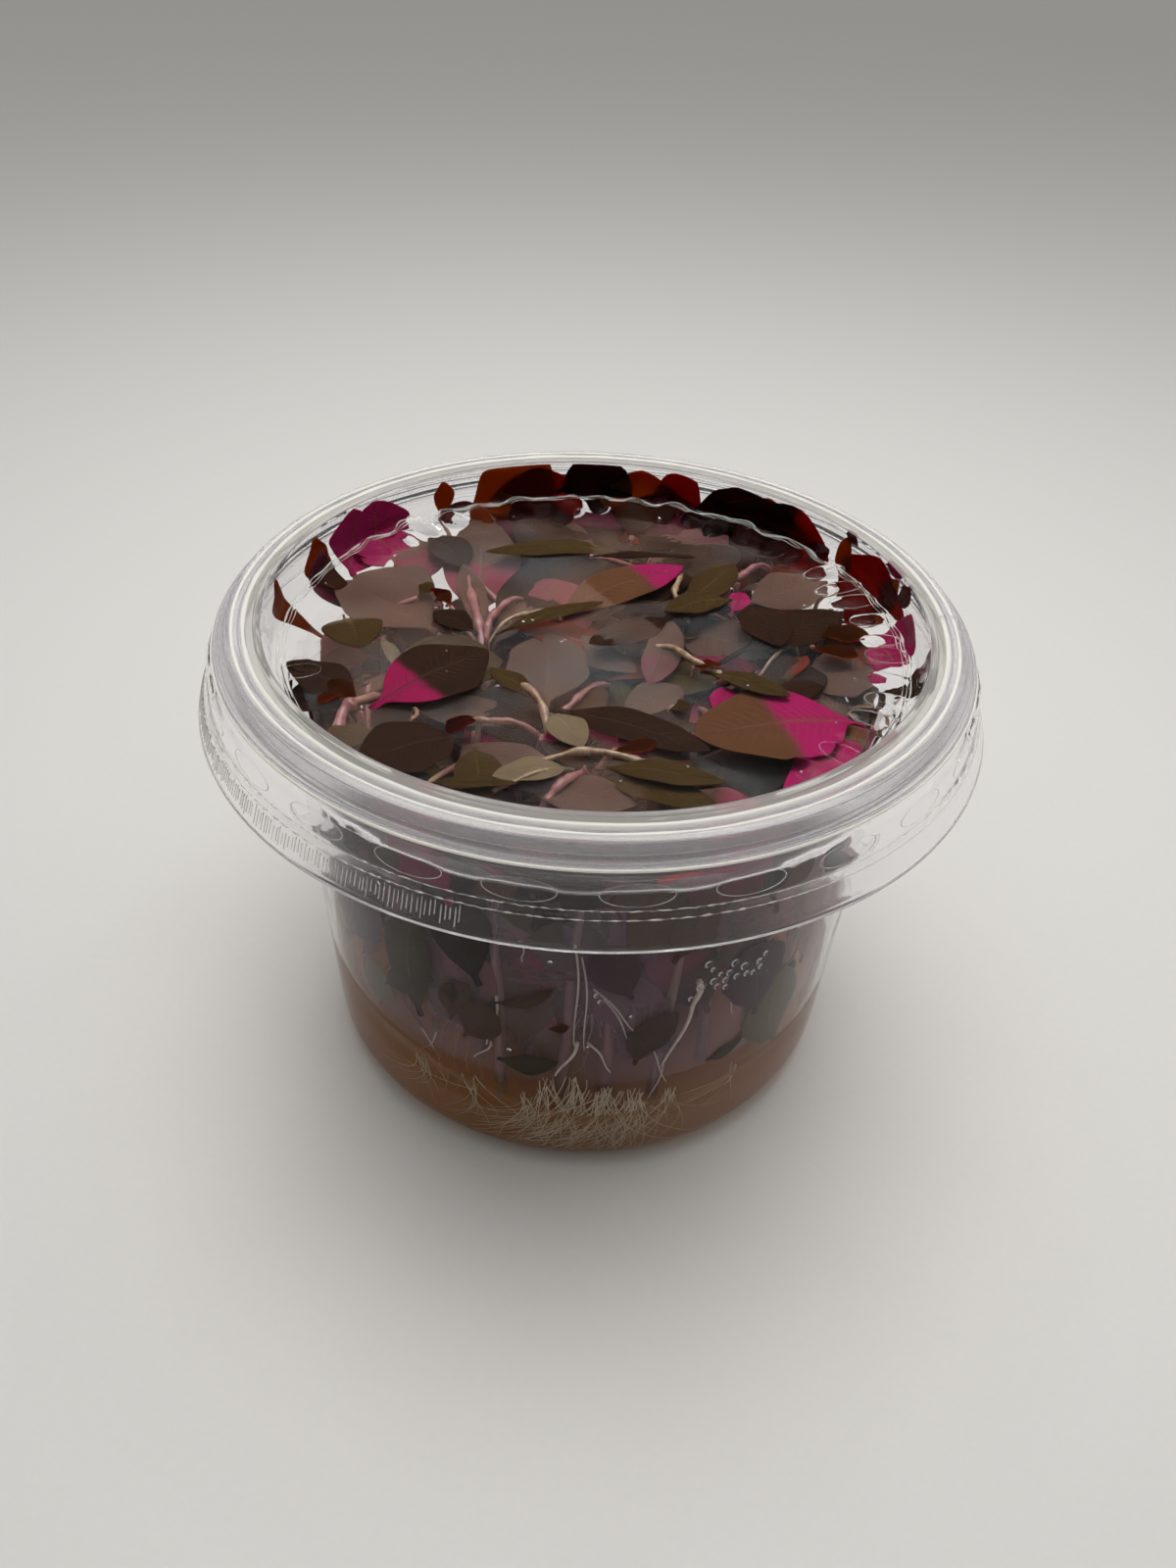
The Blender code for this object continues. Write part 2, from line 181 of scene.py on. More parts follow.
def makeLight():
    for name, (place, aim, width, height, watts) in lamps.items():
        data = bpy.data.lights.new(name, "AREA")
        data.shape = "RECTANGLE"
        data.size = width
        data.size_y = height
        data.energy = watts
        lamp = addObject(name, data)
        lamp.location = place
        lamp.rotation_euler = (Vector(aim) - Vector(place)).to_track_quat("-Z", "Y").to_euler()
    world = bpy.data.worlds.new("studio")
    world.use_nodes = True
    bpy.context.scene.world = world
    tree = world.node_tree
    height = parted(addNode(tree, "ShaderNodeTexCoord").outputs["Generated"])["Z"]
    shown = mixColours(tree, spread(height, *sky["edge"]), sky["low"], sky["high"])
    setInputs(tree.nodes["Background"], Color=shown, Strength=sky["strength"])
    bpy.context.scene.view_settings.view_transform = "Standard"


# Shader groups that several materials share

def newGroup(name, inputs, outputs):
    # inputs come with a starting value; of the outputs, the one called Color is a colour
    group = bpy.data.node_groups.new(name, "ShaderNodeTree")
    for label, value in inputs.items():
        kind = "NodeSocketColor" if isinstance(value, tuple) else "NodeSocketFloat"
        group.interface.new_socket(label, in_out="INPUT", socket_type=kind).default_value = value
    for label in outputs:
        kind = "NodeSocketColor" if label == "Color" else "NodeSocketFloat"
        group.interface.new_socket(label, in_out="OUTPUT", socket_type=kind)
    return group, group.nodes.new("NodeGroupInput").outputs, group.nodes.new("NodeGroupOutput")


def useGroup(shader, group, **values):
    node = addNode(shader.id_data, "ShaderNodeGroup", node_tree=group)
    return setInputs(node, **values).outputs


def makeWaviness():
    # slow waves and fine upright lines, as in moulded sheet; the height feeds a Bump
    inputs = {"Wave Scale": 60.0, "Line Scale": 900.0, "Line Amount": 0.3}
    group, given, out = newGroup("mouldWaves", inputs, ["Height"])
    where = objectPlace(group)
    waves = noise(where, given["Wave Scale"], 2.0)
    fineLines = noise(stretched(where, 0.06), given["Line Scale"], 2.0)
    setInputs(out, Height=plus(waves, times(fineLines, given["Line Amount"])))
    return group


def makeFogPatches():
    # how thick the condensation is: cloudy patches broken by fine droplets
    inputs = {"Patch Scale": 60.0, "Drop Scale": 1800.0, "Least": 0.1, "Most": 0.3}
    group, given, out = newGroup("fogPatches", inputs, ["Amount"])
    where = objectPlace(group)
    patches = times(noise(where, given["Patch Scale"], 4.0, 0.55), 0.94)
    droplets = times(noise(where, given["Drop Scale"], 2.0), 0.06)
    setInputs(out, Amount=spread(plus(patches, droplets), 0.32, 0.68, given["Least"], given["Most"]))
    return group


skin = {
    # scales of the noises, as turns in a metre
    "wobbleScale": 260.0,
    "cloudScale": 190.0,
    "speckleScale": 1300.0,
    # the leafMap runs 0 to 1 along the leaf and 0 to 1 across it
    "ribWidth": (0.060, 0.014),
    "veinSlant": 0.34,
    "veinWobble": 0.03,
    "veinRate": 56.0,
    "veinSharpness": 14.0,
    "veinFade": (0.10, 0.44, 0.42, 0.02),
    "blushEdge": (0.55, 0.95),
    "lightest": 0.30,
    "roughness": (0.3, 0.7, 0.34, 0.52),
    "speckleHeight": 0.35,
}


def makeLeafSkin():
    # a leaf's blade: midrib, side veins, mottling and the blush painted along it
    inputs = {"Blade": (0.1, 0.05, 0.03, 1), "Blush": (0.4, 0.03, 0.2, 1), "Vein": (0.3, 0.2, 0.1, 1),
              "Vein Amount": 0.8, "Mottle": 0.35}
    group, given, out = newGroup("leafSkin", inputs, ["Color", "Roughness", "Height", "Blushed"])
    leafMap = parted(addNode(group, "ShaderNodeUVMap", uv_map="leafMap").outputs["UV"])
    along = leafMap["X"]
    across = maths("ABSOLUTE", minus(leafMap["Y"], 0.5))
    where = objectPlace(group)
    wobble = noise(where, skin["wobbleScale"], 2.0)
    cloud = noise(where, skin["cloudScale"], 4.0, 0.6)
    speckle = noise(where, skin["speckleScale"], 3.0, 0.6)

    ribWidth = spread(along, 0.0, 1.0, *skin["ribWidth"])
    rib = maths("SUBTRACT", 1.0, maths("DIVIDE", across, ribWidth), clamp=True)
    slant = minus(along, times(across, skin["veinSlant"]))
    phase = times(plus(slant, times(wobble, skin["veinWobble"])), skin["veinRate"])
    sideVeins = maths("POWER", maths("ABSOLUTE", maths("SINE", phase)), skin["veinSharpness"])
    veins = maths("MAXIMUM", rib, times(sideVeins, spread(across, *skin["veinFade"])))

    painted = addNode(group, "ShaderNodeAttribute", attribute_name="blush").outputs["Fac"]
    blushed = spread(plus(painted, times(cloud, 0.5)), *skin["blushEdge"])
    base = mixColours(group, blushed, given["Blade"], given["Blush"])
    dark = times(plus(cloud, speckle), given["Mottle"])
    shaded = addNode(group, "ShaderNodeVectorMath", operation="SCALE")
    group.links.new(base, shaded.inputs[0])
    group.links.new(plus(minus(1.0, dark), skin["lightest"]), shaded.inputs["Scale"])
    shown = mixColours(group, times(veins, given["Vein Amount"]), shaded.outputs["Vector"], given["Vein"])
    setInputs(out, Color=shown, Roughness=spread(speckle, *skin["roughness"]), Blushed=blushed,
              Height=minus(times(speckle, skin["speckleHeight"]), veins))
    return group


mouldWaves = makeWaviness()
fogPatches = makeFogPatches()
leafSkin = makeLeafSkin()


# Materials, kept by name

finishes = {}


def newMaterial(name, **inputs):
    # gives the new material's main shader
    made = bpy.data.materials.new(name)
    made.use_nodes = True
    finishes[name] = made
    return setInputs(made.node_tree.nodes["Principled BSDF"], **inputs)


def mixShaders(shader, factor, a, b):
    # what the surface shows: the first shader where the factor is 0, the second where it is 1
    tree = shader.id_data
    node = setInputs(addNode(tree, "ShaderNodeMixShader"), Fac=factor)
    tree.links.new(a.outputs[0], node.inputs[1])
    tree.links.new(b.outputs[0], node.inputs[2])
    setInputs(tree.nodes["Material Output"], Surface=node.outputs[0])


def letThrough(shader, tint):
    # rays from lamps pass straight through, so that they reach what is inside
    tree = shader.id_data
    shadowRay = addNode(tree, "ShaderNodeLightPath").outputs["Is Shadow Ray"]
    passing = setInputs(addNode(tree, "ShaderNodeBsdfTransparent"), Color=tint)
    mixShaders(shader, shadowRay, shader, passing)


clearLooks = {
    # tint, roughness, share of clear, refraction, wave bump in metres, upright line amount
    "cupPlastic": ((0.985, 0.980, 0.990), 0.02, 1.0, 1.15, 0.00008, 0.20),
    "skirtPlastic": ((0.985, 0.980, 0.990), 0.03, 0.985, 1.22, 0.00005, 0.20),
    "panelPlastic": ((0.988, 0.986, 0.990), 0.01, 1.0, 1.12, 0.00004, 0.0),
    "rimPlastic": ((0.820, 0.810, 0.820), 0.22, 0.82, 1.26, 0.00001, 0.0),
    "lipPlastic": ((0.640, 0.620, 0.570), 0.14, 0.62, 1.16, 0.00001, 0.0),
    # the next finish is a paler, less clear plastic for the outer edges; it also paints the highlights of the
    # pale moulded lines
    "edgePlastic": ((0.900, 0.885, 0.850), 0.16, 0.76, 1.40, 0.00002, 0.0),
    # the next two finishes are for the ring's lines: the pale one paints highlights, the grey one paints
    # shade
    "linePlastic": ((0.900, 0.885, 0.840), 0.25, 0.40, 1.40, 0.00002, 0.0),
    "grooveGrey": ((0.520, 0.500, 0.540), 0.30, 0.60, 1.30, 0.00002, 0.0),
}


def makeClear(name, tint, roughness, clear, bend, waves, lineAmount):
    shader = newMaterial(name, Base_Color=tint, Roughness=roughness, IOR=bend, Transmission_Weight=clear)
    height = useGroup(shader, mouldWaves, Wave_Scale=70.0, Line_Scale=700.0, Line_Amount=lineAmount)["Height"]
    setInputs(shader, Normal=bump(height, waves, 0.6))
    letThrough(shader, tint)


fogLooks = {
    # warm and cool tint, least and most fog, how many patches in a metre, extra fog on the right
    "lidFog": ((0.46, 0.29, 0.22), (0.26, 0.30, 0.31), 0.0, 0.050, 55.0, 0.0),
    "wallFog": ((0.66, 0.45, 0.41), (0.52, 0.38, 0.47), 0.018, 0.095, 40.0, 0.16),
}
fogRight = (0.010, 0.038)


def makeFog(name, warm, cool, least, most, patchScale, rightSide):
    shader = newMaterial(name, Roughness=0.9)
    where = objectPlace(shader.id_data)
    tint = mixColours(shader.id_data, spread(noise(where, 38.0), 0.40, 0.60), warm, cool)
    patches = useGroup(shader, fogPatches, Patch_Scale=patchScale, Drop_Scale=1500.0, Least=least, Most=most)
    side = spread(parted(where)["X"], *fogRight, 0.0, rightSide)
    setInputs(shader, Base_Color=tint, Alpha=plus(patches["Amount"], side))


gelLooks = {
    "left": (0.66, 0.34, 0.070),
    "right": (0.78, 0.58, 0.42),
    "shadow": (0.80, 0.62, 0.38),
    "inside": (0.86, 0.52, 0.14),
    "density": 60.0,
    "turn": (-0.01, 0.045),
}


def makeGelAmber():
    shader = newMaterial("gelAmber", Roughness=0.08, IOR=1.34, Transmission_Weight=0.86)
    tree = shader.id_data
    where = objectPlace(tree)
    cloud = noise(where, 45.0, 5.0, 0.6)
    side = spread(plus(parted(where)["X"], times(cloud, 0.03)), *gelLooks["turn"])
    setInputs(shader, Base_Color=mixColours(tree, side, gelLooks["left"], gelLooks["right"]),
              Normal=bump(cloud, 0.0006, 0.4))
    letThrough(shader, gelLooks["shadow"])
    depth = addNode(tree, "ShaderNodeVolumeAbsorption")
    setInputs(depth, Color=gelLooks["inside"], Density=gelLooks["density"])
    setInputs(tree.nodes["Material Output"], Volume=depth.outputs[0])


leafLooks = {
    # blade, blush and vein, light that comes through the blade and the blush, its share,
    # and how red the under side is
    "brown": ((0.022, 0.0100, 0.0055), (0.22, 0.009, 0.052), (0.036, 0.019, 0.012),
              (0.07, 0.010, 0.002), (0.40, 0.004, 0.06), 0.30, 0.45),
    "olive": ((0.042, 0.024, 0.008), (0.12, 0.018, 0.010), (0.085, 0.060, 0.018),
              (0.18, 0.08, 0.004), (0.30, 0.02, 0.01), 0.30, 0.40),
    "rose": ((0.084, 0.047, 0.034), (0.17, 0.034, 0.050), (0.11, 0.065, 0.048),
             (0.24, 0.07, 0.06), (0.40, 0.03, 0.10), 0.30, 0.40),
    "red": ((0.010, 0.001, 0.0004), (0.003, 0.0005, 0.0003), (0.016, 0.002, 0.001),
            (0.60, 0.006, 0.001), (0.13, 0.002, 0.0008), 0.70, 0.0),
    "orange": ((0.026, 0.008, 0.001), (0.010, 0.001, 0.0005), (0.06, 0.022, 0.003),
               (0.66, 0.190, 0.010), (0.60, 0.018, 0.001), 0.70, 0.0),
    "magenta": ((0.092, 0.040, 0.018), (0.27, 0.010, 0.075), (0.14, 0.050, 0.034),
                (0.22, 0.04, 0.01), (0.55, 0.004, 0.10), 0.35, 0.25),
    "purple": ((0.110, 0.062, 0.078), (0.16, 0.060, 0.085), (0.14, 0.08, 0.09),
               (0.30, 0.06, 0.15), (0.30, 0.06, 0.15), 0.35, 0.2),
    "pale": ((0.145, 0.105, 0.062), (0.22, 0.11, 0.08), (0.24, 0.18, 0.12),
             (0.30, 0.22, 0.08), (0.30, 0.22, 0.08), 0.30, 0.2),
}
underTint = (0.15, 0.010, 0.045)
leafGloss = 0.012


def makeLeafFinish(kind, side):
    blade, blush, vein, through, throughBlush, share, reddened = leafLooks[kind]
    if side == "Under":
        blade = tuple((1 - reddened) * a + reddened * b for a, b in zip(blade, underTint))
    shader = newMaterial(kind + side)
    tree = shader.id_data
    shown = useGroup(shader, leafSkin, Blade=blade, Blush=blush, Vein=vein)
    setInputs(shader, Base_Color=shown["Color"], Roughness=shown["Roughness"],
              Normal=bump(shown["Height"], 0.00012), Specular_IOR_Level=leafGloss)
    glow = mixColours(tree, shown["Blushed"], through, throughBlush)
    lit = addNode(tree, "ShaderNodeBsdfTranslucent")
    setInputs(lit, Color=mixColours(tree, 0.8, shown["Color"], glow))
    mixShaders(shader, share, shader, lit)


stemLooks = {
    # two streak colours and the colour of the patches
    "stemPink": ((0.12, 0.032, 0.038), (0.20, 0.078, 0.070), (0.14, 0.085, 0.040)),
    "stemCream": ((0.11, 0.060, 0.030), (0.23, 0.165, 0.090), (0.19, 0.065, 0.055)),
}


def makeStemFinish(name, dark, light, patch):
    shader = newMaterial(name, Subsurface_Weight=0.25, Subsurface_Radius=(0.002, 0.0008, 0.0006),
                         Subsurface_Scale=1.0)
    tree = shader.id_data
    where = objectPlace(tree)
    streaks = noise(stretched(where, 0.12), 900.0)
    streaked = mixColours(tree, spread(streaks, 0.3, 0.7), dark, light)
    shown = mixColours(tree, spread(noise(where, 120.0), 0.45, 0.7), streaked, patch)
    setInputs(shader, Base_Color=shown, Roughness=spread(streaks, 0.2, 0.8, 0.35, 0.5),
              Normal=bump(streaks, 0.0001))


rootLooks = {
    # darker and lighter colour
    "rootWhite": ((0.45, 0.36, 0.30), (0.74, 0.66, 0.60)),
    "rootTan": ((0.40, 0.30, 0.18), (0.74, 0.60, 0.42)),
    # the bubble colour below is the colour of the painted highlights on the bubbles, not of a root
    "bubbleWhite": ((0.70, 0.68, 0.64), (0.85, 0.83, 0.80)),
}


def makeRootFinish(name, dark, light):
    shader = newMaterial(name, Subsurface_Weight=0.3, Subsurface_Radius=(0.0015, 0.001, 0.0006),
                         Subsurface_Scale=1.0)
    cloud = noise(objectPlace(shader.id_data), 500.0)
    setInputs(shader, Base_Color=mixColours(shader.id_data, cloud, dark, light),
              Roughness=spread(cloud, 0.3, 0.7, 0.4, 0.6))


def makeWater():
    white = (1, 1, 1)
    shader = newMaterial("water", Base_Color=white, Roughness=0.0, IOR=1.33, Transmission_Weight=1.0)
    letThrough(shader, white)


def makePaper():
    shader = newMaterial("paper", Roughness=0.75)
    grain = noise(objectPlace(shader.id_data), 900.0)
    shown = mixColours(shader.id_data, grain, (0.72, 0.705, 0.675), (0.75, 0.735, 0.705))
    setInputs(shader, Base_Color=shown)


for looks, make in ((clearLooks, makeClear), (fogLooks, makeFog), (stemLooks, makeStemFinish),
                    (rootLooks, makeRootFinish)):
    for name, facts in looks.items():
        make(name, *facts)
for kind in leafLooks:
    makeLeafFinish(kind, "Upper")
    makeLeafFinish(kind, "Under")
makeGelAmber()
makeWater()
makePaper()
print("materials made:", len(finishes))


# Mesh makers

def meshFrom(name, points, faces):
    mesh = bpy.data.meshes.new(name)
    mesh.from_pydata(points.tolist(), [], faces)
    shell = bmesh.new()
    shell.from_mesh(mesh)
    if shell.calc_volume(signed=True) < 0:
        bmesh.ops.reverse_faces(shell, faces=shell.faces)
        shell.to_mesh(mesh)
    shell.free()
    return mesh


def placePiece(name, mesh, looks, slot, node=None):
    # looks are names of finishes; node is the CAD node that the piece stands for
    for look in looks:
        mesh.materials.append(finishes[look])
    mesh.shade_smooth()
    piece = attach(addObject(name, mesh), "root")
    if node:
        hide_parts(node)


def around(reach, height, angle):
    # points in metres at a distance from the axis, a height and an angle in radians
    return np.stack(np.broadcast_arrays(reach * np.cos(angle), reach * np.sin(angle), height), -1) * mm


def aroundFront(reach, height, angle):
    # the same, with the angle counted from the front
    return around(reach, height, angle)[:, [1, 0, 2]] * [1, -1, 1]


def ringFaces(low, high, count, upFirst=False):
    # four-sided faces between two rings of points, whose numbers start at low and high
    first = np.arange(count)
    following = (first + 1) % count
    corners = [low + first, low + following, high + following, high + first]
    if upFirst:
        corners[1], corners[3] = corners[3], corners[1]
    return np.stack(corners, 1).tolist()


def joined(parts):
    # several lists of points and faces as one
    faces = []
    start = 0
    for points, quads in parts:
        faces += [[start + i for i in quad] for quad in quads]
        start += len(points)
    return np.vstack([points for points, _ in parts]), faces


def outline(corners, step=0.9, arcParts=4, coarse=5.0, longRun=14.0):
    # corners are (radius, height, rounding); gives a dense half outline with its corners rounded
    places = [np.array(c[:2], float) for c in corners]
    dense = [places[0]]
    for i in range(1, len(corners) - 1):
        before, here, after = places[i - 1], places[i], places[i + 1]
        backward = before - here
        onward = after - here
        reachBack = np.linalg.norm(backward)
        reachOn = np.linalg.norm(onward)
        cut = min(corners[i][2], 0.45 * reachBack, 0.45 * reachOn)
        start = here + backward / reachBack * cut
        end = here + onward / reachOn * cut
        for t in np.linspace(0, 1, arcParts):
            dense.append((1 - t) ** 2 * start + 2 * t * (1 - t) * here + t * t * end)
    dense.append(places[-1])
    full = [dense[0]]
    for a, b in zip(dense, dense[1:]):
        reach = np.linalg.norm(b - a)
        parts = max(1, int(round(reach / (coarse if reach > longRun else step))))
        full += [a + (b - a) * k / parts for k in range(1, parts + 1)]
    kept = [full[0]]
    kept += [p for p, q in zip(full[1:], full) if np.linalg.norm(p - q) > 0.004]
    return np.array(kept)


def turned(name, half, turns, shift):
    # half runs from the axis out and back to it, upper side first; shift gives how far points move out and up
    radius, height = (np.repeat(column[:, None], turns, 1) for column in half[1:-1].T)
    angle = np.broadcast_to(np.arange(turns) * (circle / turns), radius.shape)
    outward, upward = shift(radius, height, angle)
    poles = np.array([[0, 0, half[0, 1]], [0, 0, half[-1, 1]]]) * mm
    points = np.vstack([around(radius + outward, height + upward, angle).reshape(-1, 3), poles])
    pole = radius.size
    last = pole - turns
    faces = []
    for low in range(0, last, turns):
        faces += ringFaces(low + turns, low, turns)
    faces += [[k, (k + 1) % turns, pole] for k in range(turns)]
    faces += [[last + (k + 1) % turns, last + k, pole + 1] for k in range(turns)]
    return meshFrom(name, points, faces)


def hoop(name, loop, turns):
    # a closed cross section carried once round the axis
    points = around(loop[:, :1], loop[:, 1:], np.arange(turns) * (circle / turns)).reshape(-1, 3)
    faces = []
    for i in range(len(loop)):
        faces += ringFaces(i * turns, (i + 1) % len(loop) * turns, turns, upFirst=True)
    return meshFrom(name, points, faces)


def markByPlace(mesh, chosen):
    # picks each face's material by the radius and height of its middle
    middles = np.zeros(3 * len(mesh.polygons))
    mesh.polygons.foreach_get("center", middles)
    x, y, z = middles.reshape(-1, 3).T / mm
    mesh.polygons.foreach_set("material_index", chosen(np.hypot(x, y), z).astype(int))


def smoothAlong(known, values, at):
    # a smooth curve through places (one a row) given at known, read at new places
    slopes = np.gradient(values, known, axis=0)
    index = np.clip(np.searchsorted(known, at) - 1, 0, len(known) - 2)
    span = (known[index + 1] - known[index])[:, None]
    t = (at - known[index])[:, None] / span
    t2 = t * t
    t3 = t2 * t
    a = (2 * t3 - 3 * t2 + 1) * values[index] + (t3 - 2 * t2 + t) * span * slopes[index]
    b = (-2 * t3 + 3 * t2) * values[index + 1] + (t3 - t2) * span * slopes[index + 1]
    return a + b


def ripple(angle, seed, slowest, fastest, count=24):
    # an irregular line round the cup, about -1 to 1, that meets itself
    rng = np.random.default_rng(seed)
    total = np.zeros_like(angle, dtype=float)
    for rate, phase in zip(rng.integers(slowest, fastest, count), rng.uniform(0, circle, count)):
        total = total + np.sin(angle * rate + phase)
    return total / math.sqrt(count)


def spreadOver(value, low, high):
    # 0 below low, 1 above high and smooth between
    share = np.clip((value - low) / (high - low), 0, 1)
    return share * share * (3 - 2 * share)


def unit(rows):
    return rows / np.maximum(np.linalg.norm(rows, axis=-1, keepdims=True), 1e-12)


def ringRound(side, other, count):
    # a circle of directions in the plane of two directions, for each row of them
    turn = np.arange(count)[:, None] * (circle / count)
    return side[:, None] * np.cos(turn) + other[:, None] * np.sin(turn)


def tube(path, radius, sides, helper=None):
    # a closed tube along a path, with a radius at each point; helper is a direction off the path
    ahead = unit(np.gradient(path, axis=0))
    if helper is None:
        helper = np.array([1.0, 0, 0]) if abs(ahead[0, 2]) > 0.9 else up
    side = unit(np.cross(ahead, helper))
    ring = ringRound(side, np.cross(ahead, side), sides)
    points = (path[:, None] + ring * radius[:, None, None]).reshape(-1, 3)
    last = len(points) - sides
    faces = []
    for low in range(0, last, sides):
        faces += ringFaces(low, low + sides, sides)
    faces.append(list(range(sides - 1, -1, -1)))
    faces.append(list(range(last, last + sides)))
    return points, faces


def tubePiece(name, paths, thicks, sides, look, slot, node=None, helpers=None):
    # one piece of many tubes
    helpers = helpers or [None] * len(paths)
    tubes = [tube(path, thick, sides, helper) for path, thick, helper in zip(paths, thicks, helpers)]
    placePiece(name, meshFrom(name, *joined(tubes)), [look], slot, node)


# The clear cup

_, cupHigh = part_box("cup")
lidLow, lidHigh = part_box("lid")
cup = {
    "edgeRadius": cupHigh.x / mm,
    "rimHeight": cupHigh.z / mm,
    "wall": 0.8,
    "footFlat": 33.7,
    "footRecess": 30.5,
    "recessDepth": 0.9,
    "footCorner": 6.0,
    "bodyTop": (41.8, 60.0),
    "collar": (45.9, 62.6, 46.3),
    "ledge": 67.6,
    "skirtTop": 50.8,
    "skirtStep": (51.7, 63.3),
    "skirtEdge": 59.5,
    "skirtFrom": (43.5, 59.0),
    "rolledFrom": (52.5, 59.75),
    "turns": 400,
}
snapDents = {"count": 26, "first": -7.4, "height": 66.1, "long": 4.0, "tall": 1.5, "raised": 0.14,
             "reach": 1.10, "soft": 0.28, "fade": (66.5, 67.3), "beyond": 49.0}
stepSeam = {"height": 63.5, "spread": 0.40, "rough": 0.05, "rates": (25, 150), "seed": 5}


def cupShift(radius, height, angle):
    # the snap dents and the uneven seam, both on the skirt alone
    onSkirt = (radius > snapDents["beyond"]) & (height > cup["skirtFrom"][1])
    spacing = circle / snapDents["count"]
    turn = angle + math.pi / 2 - math.radians(snapDents["first"])
    off = (turn + spacing / 2) % spacing - spacing / 2
    wide = off * radius / snapDents["long"]
    tall = (height - snapDents["height"]) / snapDents["tall"]
    dent = np.clip((snapDents["reach"] - np.sqrt(wide ** 2 + tall ** 2)) / snapDents["soft"], 0, 1)
    dent = dent * (1 - spreadOver(height, *snapDents["fade"]))
    raised = onSkirt * snapDents["raised"] * dent * dent * (3 - 2 * dent)
    seam = np.exp(-((height - stepSeam["height"]) / stepSeam["spread"]) ** 2)
    rough = onSkirt * seam * stepSeam["rough"] * ripple(angle, stepSeam["seed"], *stepSeam["rates"])
    return raised + rough, 0.0


def cupRegion(radius, height):
    # 0 body, 1 skirt, 2 rolled edge
    skirt = (radius > cup["skirtFrom"][0]) & (height > cup["skirtFrom"][1])
    rolled = (radius > cup["rolledFrom"][0]) & (height < cup["rolledFrom"][1])
    return skirt.astype(int) + rolled


def footArc(reach):
    # quarter circle from the flat of the foot out to the side
    lean = np.linspace(0, math.pi / 2, 8)
    corner = cup["footCorner"]
    return [(cup["footFlat"] + reach * math.sin(a), corner - reach * math.cos(a), 0) for a in lean]


def makeCup():
    wall = cup["wall"]
    floorTop = cup["recessDepth"] + wall
    corner = cup["footCorner"]
    bodyR, bodyZ = cup["bodyTop"]
    collarR, collarZ, collarTopR = cup["collar"]
    stepR, stepZ = cup["skirtStep"]
    rim = cup["rimHeight"]
    ledge = cup["ledge"]
    edgeR = cup["edgeRadius"]
    edgeZ = cup["skirtEdge"]
    half = outline([
        (0, floorTop, 0),
        (cup["footRecess"], floorTop, 0.5),
        (cup["footRecess"] + 0.9, wall, 0.5),
        *footArc(corner - wall),
        (bodyR - wall, bodyZ + 0.7, 0.8),
        (collarR - 0.3, collarZ - 0.9, 0.8),
        (collarTopR, rim, 0.3),
        (collarTopR + wall + 0.5, rim, 0.4),
        (collarTopR + 1.6, ledge, 0.5),
        (cup["skirtTop"], ledge, 0.8),
        (stepR - 0.55, stepZ + 0.9, 0.3),
        (stepR, stepZ, 0.3),
        (edgeR - 0.5, edgeZ + 1.5, 0.3),
        (edgeR - 0.35, edgeZ + 0.8, 0.25),
        (edgeR, edgeZ + 0.5, 0.25),
        (edgeR, edgeZ, 0.25),
        (edgeR - wall, edgeZ, 0.25),
        (stepR - wall, stepZ - 0.2, 0.3),
        (cup["skirtTop"] - wall, ledge - wall, 0.6),
        (collarTopR + wall, ledge - wall, 0.6),
        (collarR + wall, collarZ - 0.5, 0.8),
        (bodyR, bodyZ, 0.8),
        *footArc(corner)[::-1],
        (cup["footRecess"] + 1.0, 0, 0.5),
        (cup["footRecess"], cup["recessDepth"], 0.5),
        (0, cup["recessDepth"], 0),
    ])
    mesh = turned("clear_cup", half, cup["turns"], cupShift)
    markByPlace(mesh, cupRegion)
    placePiece("clear_cup", mesh, ["cupPlastic", "skirtPlastic", "edgePlastic"], "clear", "cup")
    print("cup:", len(mesh.polygons), "faces")


# The snap lid

lid = {
    "top": lidHigh.z / mm,
    "underPanel": lidLow.z / mm,
    "beadRadius": lidHigh.x / mm,
    "sheet": 0.7,
    "panel": 42.2,
    "wellFoot": 42.9,
    "wellTop": 43.75,
    "edge": 48.35,
    "bead": 68.45,
    "groove": (46.3, 0.22),
    "edgeFrom": (49.2, 69.0),
    "turns": 520,
}
fluteRim = ((-46, 148), (190, 204))
flutes = {"count": 50, "middle": 39.3, "long": 3.7, "wide": 1.65, "raised": 0.95, "seed": 11}
wavyEdge = {"radius": 42.3, "reach": 0.8, "sway": 0.85, "lift": 0.10, "rates": (20, 46),
            "seed": 14}


def fluteTable():
    # each flute's turn from its even place, middle radius, half length, half width and height
    rng = np.random.default_rng(flutes["seed"])
    count = flutes["count"]
    shiftBy = rng.uniform(-0.12, 0.12, count) * circle / count
    middle = flutes["middle"] + rng.uniform(-0.7, 0.6, count)
    longBy = flutes["long"] * rng.uniform(0.75, 1.15, count)
    wideBy = flutes["wide"] * rng.uniform(0.75, 1.2, count)
    raised = flutes["raised"] * rng.uniform(0.6, 1.2, count)
    return shiftBy, middle, longBy, wideBy, raised


def between(angle, low, high, soft=8.0):
    # 1 where the angle, counted from +X, lies between two angles in degrees, with soft ends
    degrees = (np.degrees(angle) + 100) % 360 - 100
    return spreadOver(degrees, low - soft, low) * (1 - spreadOver(degrees, high, high + soft))


def fluteStrength(angle):
    return between(angle, *fluteRim[0]) + 0.3 * between(angle, *fluteRim[1], 4)


def edgeSway(angle):
    wave = ripple(angle, wavyEdge["seed"], *wavyEdge["rates"], 9)
    return wavyEdge["sway"] * wave * (0.10 + 0.90 * between(angle, 38, 148))


